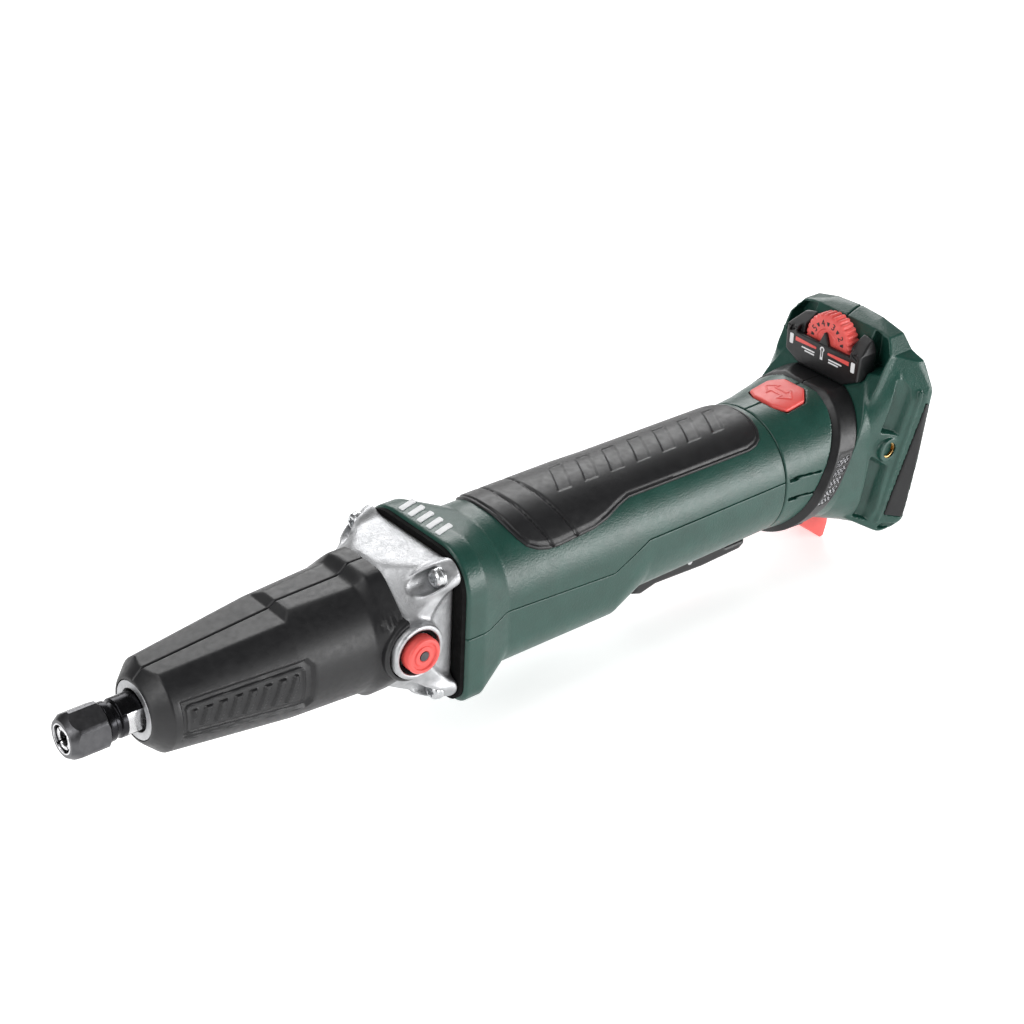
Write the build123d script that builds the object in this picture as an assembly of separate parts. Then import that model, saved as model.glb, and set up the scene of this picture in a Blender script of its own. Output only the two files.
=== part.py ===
"""Cordless die grinder with a long rubber-covered nose, a paddle switch and a battery foot that swivels.

Millimetres. The origin is the collet mouth on the spindle axis. +X runs back to the battery foot and
+Z is up, so the user's left hand side is -Y. Each function builds one sub-part, and the table at the
end names the nodes.
"""

import os

from build123d import *

# --- driving dimensions ------------------------------------------------------------------------
GAP = 0.3  # between pieces that move past each other
RUNNING = 0.05  # radial clearance of a shaft in its bore

# stations along X
NUT_FRONT = -0.8
NUT_REAR = 15.2
SLEEVE_FRONT = 30.0
NECK_FRONT = 34.0
FRONT_BEARING = 38.0
REAR_BEARING = 116.0
FLANGE_FRONT = 130.0
SLEEVE_REAR = 137.0
FLANGE_REAR = 161.0
HOUSING_FRONT = 163.0
COLLAR_END = 172.5
BODY_START = 188.0
BODY_REAR = 349.0
REAR_FRONT = BODY_REAR + 0.5
FOOT_REAR = 425.0

# spindle and collet
SHANK_RADIUS = 3.0
COLLET_RADIUS = 5.2
COLLET_LENGTH = 26.0
NUT_RADIUS = 10.0
NUT_FLATS = 17.0
THREAD_RADIUS = 7.3
NECK_RADIUS = 8.0
SPINDLE_RADIUS = 6.0
BEARING_RADIUS = 14.0
BEARING_WIDTH = 8.0
LOCK_RING_X = 140.0
LOCK_RING_RADIUS = 13.5
LOCK_NOTCHES = 4
NOTCH_WIDTH = 5.2
NOTCH_DEPTH = 4.2
LOCK_BOSS_RADIUS = 12.6

# nose
NECK_START_RADIUS = 16.2
NECK_END_RADIUS = 22.5
SLEEVE_START_RADIUS = 19.3
SLEEVE_END_RADIUS = 27.3
FLARE_RADIUS = 30.0
SCREW_OFFSET = 26.7
LUG_RADIUS = 5.8
FLANGE_HALF = 31.0
FLANGE_BORE = 24.0

# motor
CAVITY_RADIUS = 27.5
SHAFT_RADIUS = 5.0
STATOR_RADIUS = 26.0
STATOR_BORE = 14.6
STATOR_FRONT = 192.0
STATOR_REAR = 234.0
TEETH = 6
MAGNETS = 4

# body
COLLAR_HALF = 34.5
BODY_HALF = 31.0
BODY_RADIUS = 30.0
PAD_THICKNESS = 1.4

# paddle
PADDLE_FRONT = 277.0
PADDLE_REAR = 347.0
PADDLE_HALF = 11.0
PADDLE_PIVOT = (286.0, -25.0)
PADDLE_WALL = 2.0
LOCK_PIVOT = (312.0, -31.5)

# swivel joint
SWIVEL_RADIUS = 25.5
SWIVEL_FLANGE = 27.4
SWIVEL_FLANGE_X = (354.0, 358.0)
SWIVEL_X = (338.5, 362.0)

# foot
FOOT_TOP = 62.9
FOOT_BOTTOM = -37.5
BAY_FLOOR = 409.0
BAY_TOP = 40.0
BAY_HALF = 27.0
RAIL_HALF = 32.0
RAIL_FRONT = 414.0
INSERT_X = 408.0
INSERT_Z = 7.0
INSERT_RADIUS = 3.3
LATCH_HALF = 8.0
FOOT_SCREWS = ((371.0, -28.6), (414.0, 56.6))
FOOT_SCREW_RADIUS = 1.5
DIAL_BOX_FRONT = 397.4
DIAL_BOX_REAR = 408.6
DIAL_X = 400.0
DIAL_Z = 48.8
DIAL_RADIUS = 13.8
DIAL_WIDTH = 7.5


# --- shape helpers -----------------------------------------------------------------------------
def station(x):
    """The plane across the tool at x, with +Y to its right and +Z up."""
    return Plane(origin=(x, 0, 0), x_dir=(0, 1, 0), z_dir=(1, 0, 0))


def block(x, y, z):
    """A box from three (low, high) pairs."""
    centre = Pos((x[0] + x[1]) / 2, (y[0] + y[1]) / 2, (z[0] + z[1]) / 2)
    return centre * Box(x[1] - x[0], y[1] - y[0], z[1] - z[0])


def lathe(*points):
    """A solid of revolution about the tool axis from (x, radius) points."""
    outline = Polyline(*[(x, 0, radius) for x, radius in points], close=True)
    return revolve(make_face(outline), axis=Axis.X)


def tube(x, outer, inner=0.0):
    """A ring or disc between x[0] and x[1] on the tool axis."""
    return lathe((x[0], inner), (x[1], inner), (x[1], outer), (x[0], outer))


def rod_x(x, y, z, radius):
    """A round rod along X."""
    return Pos((x[0] + x[1]) / 2, y, z) * Rot(0, 90, 0) * Cylinder(radius, x[1] - x[0])


def rod_y(x, y, z, radius):
    """A round rod along Y."""
    return Pos(x, (y[0] + y[1]) / 2, z) * Rot(90, 0, 0) * Cylinder(radius, y[1] - y[0])


def rod_z(x, y, z, radius):
    """A round rod along Z."""
    return Pos(x, y, (z[0] + z[1]) / 2) * Cylinder(radius, z[1] - z[0])


def side_prism(points, y):
    """An outline of (x, z) points carried across from y[0] to y[1]."""
    face = make_face(Polyline(*[(px, y[1], pz) for px, pz in points], close=True))
    return extrude(face, amount=y[1] - y[0], dir=(0, -1, 0))


def end_prism(points, x):
    """An outline of (y, z) points carried along from x[0] to x[1]."""
    face = make_face(Polyline(*[(x[0], py, pz) for py, pz in points], close=True))
    return extrude(face, amount=x[1] - x[0], dir=(1, 0, 0))


def plan_prism(points, z):
    """An outline of (x, y) points carried up from z[0] to z[1]."""
    face = make_face(Polyline(*[(px, py, z[0]) for px, py in points], close=True))
    return extrude(face, amount=z[1] - z[0], dir=(0, 0, 1))


def mirrored(points):
    """(y, z) points of one half, closed by the same points on the other side."""
    return list(points) + [(-y, z) for y, z in reversed(points) if y > 0]


def section(x, half, top, bottom, top_radius, bottom_radius):
    """A rounded rectangle across the tool, with one radius above and another below."""
    outline = Pos(0, (top + bottom) / 2) * Rectangle(2 * half, top - bottom)
    outline = fillet(outline.vertices().group_by(Axis.Y)[-1], top_radius)
    outline = fillet(outline.vertices().group_by(Axis.Y)[0], bottom_radius)
    return station(x) * outline


def skin(stations, grow=0.0):
    """The solid through rounded sections, each (x, half, top, bottom, top radius, bottom radius)."""
    faces = [
        section(x, half + grow, top + grow, bottom - grow, upper + grow, lower + grow)
        for x, half, top, bottom, upper, lower in stations
    ]
    return loft(faces, ruled=True)


def around(count, piece, start=0.0):
    """Copies of a piece turned evenly about the tool axis."""
    return [Rot(start + 360 * i / count, 0, 0) * piece for i in range(count)]


def coil_spring(radius, wire, length, turns):
    """A closed helical spring standing on the XY plane."""
    path = Helix(pitch=length / turns, height=length, radius=radius)
    start = Plane(origin=path @ 0, z_dir=path % 0)
    return sweep(start * Circle(wire), path=path)


FLANGE_STATIONS = (
    (FLANGE_FRONT, 24.0, 24.0, -24.0, 21.0, 21.0),
    (141.0, 28.5, 28.5, -28.5, 20.0, 20.0),
    (FLANGE_REAR, FLANGE_HALF, FLANGE_HALF, -FLANGE_HALF, 17.0, 17.0),
)
BODY_STATIONS = (
    (HOUSING_FRONT, COLLAR_HALF, COLLAR_HALF, -35.5, 19.0, 7.0),
    (COLLAR_END, COLLAR_HALF, COLLAR_HALF, -35.5, 19.0, 7.0),
    (BODY_START, BODY_HALF, BODY_HALF, -33.0, 30.0, 18.0),
    (250.0, BODY_HALF, BODY_HALF, -33.0, 30.0, 18.0),
    (268.0, 30.5, 30.5, -30.5, 29.5, 28.0),
    (BODY_REAR, BODY_RADIUS, BODY_RADIUS, -BODY_RADIUS, 29.0, 29.0),
)
REAR_STATIONS = (
    (REAR_FRONT, BODY_RADIUS, BODY_RADIUS, -BODY_RADIUS, 29.0, 29.0),
    (362.0, 30.4, 30.4, -30.4, 28.0, 28.0),
    (384.0, 32.3, 33.0, -32.6, 27.0, 27.0),
    (398.0, 33.5, 37.5, -35.4, 22.0, 20.0),
    (412.0, 38.0, 48.0, FOOT_BOTTOM, 14.0, 10.0),
)
# the filter ring leans back: its faces run this far along X for each step up
FILTER_LEAN = 0.45
FILTER_X = (370.0, 383.0)
FILTER_THICKNESS = 2.8
# the edge where the upper shell meets the lower one, front to back
PARTING = ((160.0, -3.0), (176.0, -3.0), (186.0, 0.0), (246.0, -3.5), (266.0, 5.8), (352.0, 5.8))


# --- collet and spindle ------------------------------------------------------------------------
def make_collet():
    """Slotted collet whose bore takes a 6 mm shank."""
    body = lathe(
        (0, SHANK_RADIUS),
        (0, 5.0),
        (2.0, 6.6),
        (4.5, 6.6),
        (8.0, COLLET_RADIUS),
        (COLLET_LENGTH, COLLET_RADIUS - 0.6),
        (COLLET_LENGTH, SHANK_RADIUS),
    )
    for slot in around(4, block((-1, 17), (0, 10), (-0.4, 0.4)), 45):
        body -= slot
    return body


def make_collet_nut():
    """Knob-edged clamping nut with two wrench flats."""
    nut = lathe(
        (NUT_FRONT, 5.4),
        (NUT_FRONT, 8.0),
        (0.6, 8.6),
        (2.6, 9.9),
        (4.0, NUT_RADIUS),
        (12.4, NUT_RADIUS),
        (NUT_REAR, 8.2),
        (NUT_REAR, THREAD_RADIUS + RUNNING),
        (5.4, THREAD_RADIUS + RUNNING),
        (5.4, 7.0),
        (1.9, 7.0),
    )
    for side in (-1, 1):
        nut -= Pos(9.5, side * (NUT_FLATS / 2 + 4), 0) * Box(9.0, 8, 30)
    return nut


def make_spindle():
    """Work spindle, threaded for the nut, with milled wrench flats in front of the bearing."""
    spindle = lathe(
        (8.4, COLLET_RADIUS + 0.15),
        (8.4, THREAD_RADIUS),
        (16.0, THREAD_RADIUS),
        (16.0, NECK_RADIUS),
        (19.0, NECK_RADIUS),
        (19.4, 7.0),
        (21.6, 7.0),
        (22.0, NECK_RADIUS),
        (FRONT_BEARING, NECK_RADIUS),
        (FRONT_BEARING, SPINDLE_RADIUS),
        (FRONT_BEARING + 9, SPINDLE_RADIUS),
        (FRONT_BEARING + 9, 7.0),
        (REAR_BEARING, 7.0),
        (REAR_BEARING, SPINDLE_RADIUS),
        (150.0, SPINDLE_RADIUS),
        (150.0, 0),
        (36.0, 0),
        (34.0, SHANK_RADIUS + 0.2),
        (27.5, SHANK_RADIUS + 0.2),
        (27.0, COLLET_RADIUS + 0.15),
    )
    for side in (-1, 1):
        spindle -= Pos(27.5, side * (6.5 + 4), 0) * Box(8.0, 8, 20)
    return spindle


def make_bearing(front, bore, outer, width=BEARING_WIDTH):
    """A shielded ball bearing with its two shields sunk below the races."""
    step = (outer - bore) * 0.22
    return lathe(
        (front, bore + RUNNING),
        (front, bore + step),
        (front + 0.5, bore + step),
        (front + 0.5, outer - step),
        (front, outer - step),
        (front, outer - RUNNING),
        (front + width, outer - RUNNING),
        (front + width, outer - step),
        (front + width - 0.5, outer - step),
        (front + width - 0.5, bore + step),
        (front + width, bore + step),
        (front + width, bore + RUNNING),
    )


def make_retaining_ring():
    """Bright threaded ring that holds the front bearing and shows in the nose opening."""
    return lathe(
        (SLEEVE_FRONT, 8.9),
        (SLEEVE_FRONT, 11.4),
        (SLEEVE_FRONT + 0.6, 12.0),
        (NECK_FRONT + 0.2, 12.0),
        (NECK_FRONT + 0.2, BEARING_RADIUS),
        (FRONT_BEARING, BEARING_RADIUS),
        (FRONT_BEARING, 11.0),
        (NECK_FRONT + 1, 11.0),
        (NECK_FRONT + 1, 8.9),
    )


def make_felt_seal():
    """Felt dust seal around the spindle, in the retaining ring."""
    return tube((NECK_FRONT + 1, FRONT_BEARING), 11.0, NECK_RADIUS + RUNNING)


def make_lock_ring():
    """Ring with open notches that the lock pin drops into."""
    half = 4.5
    ring = tube((LOCK_RING_X - half, LOCK_RING_X + half), LOCK_RING_RADIUS, SPINDLE_RADIUS)
    notch = Pos(LOCK_RING_X, 0, LOCK_RING_RADIUS) * Box(3 * half, NOTCH_WIDTH, 2 * NOTCH_DEPTH)
    for cut in around(LOCK_NOTCHES, notch):
        ring -= cut
    return ring


def make_shaft_coupling():
    """Sleeve that joins the spindle to the motor shaft."""
    sleeve = tube((145.5, 158.0), 9.5, SHAFT_RADIUS)
    return sleeve - tube((145.0, 150.0), SPINDLE_RADIUS)


def make_motor_shaft():
    """Motor shaft, stepped down for its rear bearing."""
    return tube((150.0, 246.0), SHAFT_RADIUS) + tube((246.0, 254.0), 4.0)


def make_fan():
    """Cooling fan with radial blades on a back plate."""
    hub = tube((164.5, 175.0), 8.0, SHAFT_RADIUS)
    plate = tube((173.0, 175.0), 24.0, SHAFT_RADIUS)
    fan = hub + plate
    for blade in around(11, Pos(169.5, 0, 15.5) * Rot(0, 0, 12) * Box(9.0, 1.2, 17.0)):
        fan += blade
    return fan


def make_rotor_core():
    """Laminated rotor on the motor shaft."""
    return tube((STATOR_FRONT - 1, STATOR_REAR + 1), 11.6, SHAFT_RADIUS)


def make_rotor_magnets():
    """Curved magnets around the rotor."""
    ring = tube((STATOR_FRONT, STATOR_REAR), 13.8, 11.6)
    slit = Pos(213, 0, 12.5) * Box(60, 1.4, 6)
    for cut in around(MAGNETS, slit):
        ring -= cut
    return ring


# --- motor in the body -------------------------------------------------------------------------
def make_stator_core():
    """Laminated stator ring with inward teeth."""
    core = tube((STATOR_FRONT, STATOR_REAR), STATOR_RADIUS, 22.0)
    tooth = block((STATOR_FRONT, STATOR_REAR), (-2.6, 2.6), (17.0, 22.5))
    shoe = tube((STATOR_FRONT, STATOR_REAR), 17.2, STATOR_BORE)
    slit = block((STATOR_FRONT - 1, STATOR_REAR + 1), (-1.4, 1.4), (13.0, 19.0))
    for cut in around(TEETH, slit, 30):
        shoe -= cut
    core += shoe
    for arm in around(TEETH, tooth):
        core += arm
    return core


def make_stator_coils():
    """Copper windings, one around each tooth."""
    winding = block((STATOR_FRONT - 4, STATOR_REAR + 4), (-5.0, 5.0), (17.6, 21.0))
    winding -= block((STATOR_FRONT - 0.2, STATOR_REAR + 0.2), (-2.8, 2.8), (17, 22))
    return Compound(around(TEETH, winding))


def make_motor_plate(front, bearing_front, bearing_radius):
    """End plate that centres the motor in the body and holds a bearing."""
    plate = tube((front, front + 8), CAVITY_RADIUS - 0.1, 7.5)
    plate -= tube((bearing_front, bearing_front + 30), bearing_radius)
    for hole in around(6, rod_x((front - 1, front + 9), 0, 20.0, 3.6), 15):
        plate -= hole
    return plate


def make_sensor_board():
    """Round circuit board with the rotor position sensors, behind the windings."""
    return tube((239.5, 241.1), 25.0, 10.0)


# --- nose --------------------------------------------------------------------------------------
def make_nose_housing():
    """Cast spindle housing: long neck, square flange with four screw lugs and the lock boss."""
    neck = lathe(
        (NECK_FRONT, 0),
        (NECK_FRONT, NECK_START_RADIUS),
        (FLANGE_FRONT + 4, NECK_END_RADIUS),
        (FLANGE_FRONT + 4, 0),
    )
    housing = neck + skin(FLANGE_STATIONS)
    for y in (-SCREW_OFFSET, SCREW_OFFSET):
        for z in (-SCREW_OFFSET, SCREW_OFFSET):
            housing += rod_x((150.5, FLANGE_REAR), y, z, LUG_RADIUS)
    housing += rod_y(LOCK_RING_X, (-33.6, -20.0), 0, LOCK_BOSS_RADIUS)
    housing -= tube((NECK_FRONT - 1, FRONT_BEARING + BEARING_WIDTH), BEARING_RADIUS)
    housing -= tube((40.0, 120.0), 10.0)
    housing -= tube((REAR_BEARING, FLANGE_FRONT), BEARING_RADIUS)
    housing -= tube((FLANGE_FRONT, FLANGE_REAR + 1), FLANGE_BORE)
    housing -= rod_y(LOCK_RING_X, (-40.0, -28.0), 0, 9.8 + GAP)
    housing -= rod_y(LOCK_RING_X, (-40.0, -20.0), 0, 2.0 + GAP)
    for y in (-SCREW_OFFSET, SCREW_OFFSET):
        for z in (-SCREW_OFFSET, SCREW_OFFSET):
            housing -= rod_x((137.0, 155.0), y, z, 4.4)
            housing -= rod_x((150.0, 165.0), y, z, 2.1)
    return housing


def make_nose_sleeve():
    """Rubber hand guard over the neck, with a flat land along its top."""
    sleeve = lathe(
        (SLEEVE_FRONT, 12.8),
        (SLEEVE_FRONT, 14.0),
        (SLEEVE_FRONT + 1.2, 14.8),
        (SLEEVE_FRONT + 6, SLEEVE_START_RADIUS),
        (90.0, 25.5),
        (125.0, SLEEVE_END_RADIUS),
        (FLANGE_FRONT, FLARE_RADIUS - 1.0),
        (SLEEVE_REAR, FLARE_RADIUS),
        (SLEEVE_REAR, FLARE_RADIUS - 1.0),
        (FLANGE_FRONT - 0.1, 26.6),
        (FLANGE_FRONT - 0.1, NECK_END_RADIUS - 0.2),
        (NECK_FRONT - 0.1, NECK_START_RADIUS + 0.05),
        (NECK_FRONT - 0.1, 12.8),
    )
    top_land = ((28, 17.3), (92, 22.4), (95.5, 24.4), (128, 25.2), (128, 40), (28, 40))
    sleeve -= side_prism(top_land, (-40, 40))
    sleeve -= rod_y(LOCK_RING_X, (-40.0, -18.0), 0, LOCK_BOSS_RADIUS + 0.1)
    return sleeve - skin(FLANGE_STATIONS, 0.1)


def make_nose_screws():
    """Four screws that clamp the nose to the body."""
    screws = []
    for y in (-SCREW_OFFSET, SCREW_OFFSET):
        for z in (-SCREW_OFFSET, SCREW_OFFSET):
            head = rod_x((151.0, 155.0), y, z, 4.0) + rod_x((155.0, 171.0), y, z, 2.0)
            for wide, high in ((2.2, 0.6), (0.6, 2.2)):
                head -= block((150, 152.6), (y - wide, y + wide), (z - high, z + high))
            screws.append(head)
    return Compound(screws)


def make_gasket_plate():
    """Black plate between the nose flange and the body."""
    face = (
        (FLANGE_REAR, COLLAR_HALF - 1.2, COLLAR_HALF - 1.2, -COLLAR_HALF + 0.4, 17.0, 8.0),
        (HOUSING_FRONT, COLLAR_HALF - 1.2, COLLAR_HALF - 1.2, -COLLAR_HALF + 0.4, 17.0, 8.0),
    )
    plate = skin(face) - tube((160, 165), FLANGE_BORE)
    for y in (-SCREW_OFFSET, SCREW_OFFSET):
        for z in (-SCREW_OFFSET, SCREW_OFFSET):
            plate -= rod_x((160, 165), y, z, 2.1)
    return plate


def make_lock_button():
    """Round spindle lock button with a ring groove."""
    button = rod_y(LOCK_RING_X, (-37.0, -31.5), 0, 9.8)
    button -= rod_y(LOCK_RING_X, (-38.0, -36.4), 0, 5.2) - rod_y(LOCK_RING_X, (-39.0, -36.0), 0, 3.4)
    button -= rod_y(LOCK_RING_X, (-38.0, -30.0), 0, 2.0)
    button -= rod_y(LOCK_RING_X, (-33.6, -30.0), 0, 7.6)
    return button


def make_lock_pin():
    """Steel pin pressed into the lock button."""
    return rod_y(LOCK_RING_X, (-36.6, -14.6), 0, 2.0)


def make_lock_spring():
    """Return spring around the lock pin."""
    spring = coil_spring(4.4, 0.45, 4.2, 4)
    return Pos(LOCK_RING_X, -28.55, 0) * Rot(90, 0, 0) * spring


# --- body shells -------------------------------------------------------------------------------
def lower_half():
    """The space below the parting edge."""
    outline = list(PARTING) + [(352.0, -60.0), (160.0, -60.0)]
    return side_prism(outline, (-60, 60))


def body_cavity():
    """What the body's two shells leave open inside."""
    cavity = tube((170.0, 336.0), CAVITY_RADIUS)
    cavity += tube((160.0, 171.0), 25.5)
    cavity += tube((335.0, 339.0), 22.5)
    return cavity + tube((SWIVEL_X[0], 350.0), SWIVEL_RADIUS + 0.02)


def paddle_pocket():
    """Slot in the underside that the paddle presses into, shallow under the swivel joint."""
    across = (-PADDLE_HALF - 0.6, PADDLE_HALF + 0.6)
    deep = block((PADDLE_FRONT - 2.0, 335.5), across, (-40.0, -20.0))
    return deep + block((335.0, 347.8), across, (-40.0, -27.4))


def make_body():
    """Both shells as one piece, before they are parted."""
    body = skin(BODY_STATIONS) - body_cavity() - paddle_pocket()
    for y in (-SCREW_OFFSET, SCREW_OFFSET):
        for z in (-SCREW_OFFSET, SCREW_OFFSET):
            body -= rod_x((160, 171.5), y, z, 2.0 + 0.1)
    return body - rod_y(PADDLE_PIVOT[0], (-15.1, 15.1), PADDLE_PIVOT[1], 2.0)


def make_main_housing_upper():
    return make_body() - lower_half()


def make_main_housing_lower():
    return make_body() & lower_half()


def make_grip_pad():
    """Soft pad along the top of the body, wider at the front, with two grooves across it."""
    outline = (
        (196.2, 0.0),
        (197.2, 10.0),
        (200.0, 19.0),
        (208.0, 25.0),
        (238.0, 25.0),
        (256.0, 21.0),
        (336.0, 21.0),
        (343.5, 16.5),
        (346.0, 8.0),
    )
    points = list(outline) + [(x, -y) for x, y in reversed(outline) if y > 0]
    pad = skin(BODY_STATIONS, PAD_THICKNESS) - skin(BODY_STATIONS)
    pad = pad & plan_prism(points, (0.0, 50.0))
    for x in (208.5, 222.5):
        pad -= Pos(x, 0, 0) * (tube((-0.7, 0.7), 40.0, BODY_HALF + 0.75))
    return pad


def make_collar_badge():
    """Plain slanted bars standing up from the top of the collar."""
    bars = []
    for i in range(5):
        y = 12.0 - 6.0 * i
        bar = plan_prism(
            ((165.5, y), (174.5, y + 2.5), (174.5, y + 5.5), (165.5, y + 3.0)), (COLLAR_HALF, COLLAR_HALF + 0.5)
        )
        bars.append(bar)
    return Compound(bars)


def make_switch_module():
    """Switch inside the body, above the paddle, with its plunger towards the paddle."""
    return block((262.0, 328.0), (-10.0, 10.0), (-19.5, -3.0)) + rod_z(300.0, 0, (-20.5, -18.0), 2.4)


def make_control_module():
    """Electronics module with cooling ribs."""
    module = block((262.0, 332.0), (-17.0, 17.0), (1.0, 13.0))
    for i in range(8):
        module -= block((266.0 + 8 * i, 270.0 + 8 * i), (-18, 18), (9.0, 14.0))
    return module


def make_paddle_pin():
    """Pin that the paddle turns on."""
    return rod_y(PADDLE_PIVOT[0], (-15.0, 15.0), PADDLE_PIVOT[1], 2.0 - RUNNING)


# --- paddle ------------------------------------------------------------------------------------
def make_paddle():
    """Long trough-shaped switch paddle with a slot for the lock lever."""
    x, z = PADDLE_PIVOT
    side = (
        (PADDLE_FRONT + 0.5, -30.0),
        (PADDLE_FRONT + 1.0, -37.4),
        (PADDLE_FRONT + 5.0, -38.4),
        (PADDLE_FRONT + 14.0, -36.0),
        (PADDLE_FRONT + 43.0, -37.4),
        (PADDLE_REAR - 3.0, -36.2),
        (PADDLE_REAR, -34.2),
        (PADDLE_REAR, -31.8),
        (334.6, -31.8),
        (333.6, -27.4),
        (x + 6.0, -27.0),
        (x + 3.0, z + 3.2),
        (x - 2.5, z + 3.2),
    )
    paddle = side_prism(side, (-PADDLE_HALF, PADDLE_HALF))
    inner = PADDLE_HALF - PADDLE_WALL
    paddle -= block((x + 5.0, 337.0), (-inner, inner), (-33.6, 0.0))
    paddle -= rod_y(x, (-20, 20), z, 2.0)
    paddle -= block((304.0, 321.0), (-4.4, 4.4), (-45, -20))
    return paddle - rod_y(LOCK_PIVOT[0], (-20.0, 20.0), LOCK_PIVOT[1], 1.5)


def make_lock_lever():
    """Lock lever that has to be swung before the paddle is pressed in use."""
    x, z = LOCK_PIVOT
    side = (
        (x - 5.0, z - 5.4),
        (x - 0.5, z - 7.4),
        (x + 4.0, z - 5.0),
        (x + 3.6, z + 2.6),
        (x - 3.0, z + 2.6),
    )
    return side_prism(side, (-4.0, 4.0)) - rod_y(x, (-5, 5), z, 1.5)


def make_lock_lever_pin():
    """Pin of the lock lever, pressed into the paddle's side walls."""
    return rod_y(LOCK_PIVOT[0], (-10.9, 10.9), LOCK_PIVOT[1], 1.5 - RUNNING)


def make_paddle_spring():
    """Spring that pushes the paddle out."""
    spring = coil_spring(3.0, 0.4, 12.2, 6)
    return Pos(332.5, 0, -33.0) * spring


# --- swivel and foot ---------------------------------------------------------------------------
def make_swivel_ring():
    """Flanged ring, fixed in the rear of the body, that the foot turns on."""
    return (
        tube(SWIVEL_X, SWIVEL_RADIUS, 22.5)
        + tube(SWIVEL_FLANGE_X, SWIVEL_FLANGE, 22.5)
    )


def foot_outline():
    """The foot seen from behind."""
    bottom = ((0.0, FOOT_BOTTOM), (37.0, FOOT_BOTTOM), (44.5, -29.0))
    ear = ((44.9, 36.0), (38.1, 48.8), (31.0, 51.5))
    hood = ((26.2, 58.6), (14.0, 61.8), (0.0, FOOT_TOP))
    return mirrored(bottom + ear + hood)


def foot_plan(inset=0.0):
    """The foot seen from above: it widens from the neck to the battery rails."""
    half = ((396.0, 31.0), (405.0, 34.0), (421.5, 44.9), (430.0, 44.9))
    near = [(x, y - inset) for x, y in half]
    return near + [(x, -y) for x, y in reversed(near)]


def foot_envelope():
    """The foot's outer block, before the neck joins it."""
    side = (
        (409.0, FOOT_BOTTOM),
        (418.0, FOOT_BOTTOM),
        (FOOT_REAR, 34.0),
        (FOOT_REAR - 0.6, 46.0),
        (421.0, FOOT_TOP + 0.2),
        (412.0, 60.0),
        (404.0, 50.0),
        (398.0, 38.0),
        (398.0, -30.0),
    )
    envelope = end_prism(foot_outline(), (390, 430)) & side_prism(side, (-60, 60))
    return envelope & plan_prism(foot_plan(), (-60, 80))


def make_foot():
    """Both foot shells as one piece, before they are parted."""
    foot = foot_envelope() + skin(REAR_STATIONS)
    foot += rod_y(INSERT_X, (-38.6, 38.6), INSERT_Z, 6.6)
    flange_front, flange_rear = SWIVEL_FLANGE_X
    foot -= tube((340.0, SWIVEL_X[1] + 1.0), SWIVEL_RADIUS + GAP)
    foot -= tube((flange_front - GAP, flange_rear + GAP), SWIVEL_FLANGE + GAP)
    foot -= tube((362.0, 378.0), 25.0)
    foot -= block((377.0, 405.0), (-20.0, 20.0), (-20.0, 24.0))
    # shelf under the swivel release button
    foot += block((364.5, 379.0), (-21.0, 21.0), (12.0, 14.5))
    # battery bay, open below and behind
    foot -= block((BAY_FLOOR, 430), (-BAY_HALF, BAY_HALF), (-60, BAY_TOP))
    foot -= block((BAY_FLOOR, RAIL_FRONT), (-RAIL_HALF, RAIL_HALF), (-60, BAY_TOP))
    # speed dial and its surround
    foot -= end_prism(dial_box_outline(0.1), (380.0, DIAL_BOX_REAR + 0.2))
    foot -= rod_x((399.0, DIAL_BOX_REAR + 0.2), 0, DIAL_Z, DIAL_RADIUS + 1.2)
    foot -= rod_x((405.0, 417.5), 0, DIAL_Z, 6.2)
    # swivel release button
    foot -= block((360.7, 380.9), (-11.0, 11.0), (25.4, 40.0))
    foot -= block((364.3, 377.4), (-5.4, 5.4), (19.0, 40.0))
    # filter latch
    foot -= block((376.4, 407.0), (-LATCH_HALF - 0.4, LATCH_HALF + 0.4), (-60.0, -27.8))
    for y in ((36.0, 46.0), (-46.0, -36.0)):
        foot -= rod_y(INSERT_X, y, INSERT_Z, 4.6)
    for x, z in FOOT_SCREWS:
        foot -= rod_y(x, (-9.0, 9.0), z, FOOT_SCREW_RADIUS + 0.02)
    return foot - bumper_block(0.2)


def side_keep(sign):
    """Everything on one side of the centre plane."""
    return block((340, 430), (0, 60) if sign > 0 else (-60, 0), (-60, 70))


def bumper_block(grow=0.0):
    """The bumper strips of both sides: the outer layer of the foot along its rear edge."""
    strip = (
        (408.0 - grow, -24.0 - grow),
        (416.6 + grow, -29.5 - grow),
        (423.3 + grow, 28.0 + grow),
        (420.0, 29.6 + grow),
    )
    layer = side_prism(strip, (-60, 60)) & foot_envelope()
    return layer - plan_prism(foot_plan(2.2 + grow), (-60, 80))


def make_bumper(sign):
    """Rubber bumper strip set into the foot's side."""
    return bumper_block() & side_keep(sign)


def make_foot_half(sign):
    """The foot shell on one side of the centre plane."""
    return make_foot() & side_keep(sign)


def make_threaded_insert(sign):
    """Brass insert for a side accessory, threaded M8."""
    y = (36.1, 38.4) if sign > 0 else (-38.4, -36.1)
    insert = rod_y(INSERT_X, y, INSERT_Z, 4.55)
    return insert - rod_y(INSERT_X, (y[0] - 1, y[1] + 1), INSERT_Z, INSERT_RADIUS)


def dial_box_outline(grow=0.0):
    """The dial surround seen from the front."""
    half = (
        (0.0, 33.4 - grow),
        (13.5, 33.4 - grow),
        (22.6 + grow, 38.2),
        (23.0 + grow, 51.0),
        (20.5 + grow, 55.6),
        (16.0, 56.8 + grow),
        (0.0, 56.8 + grow),
    )
    return mirrored(half)


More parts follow.
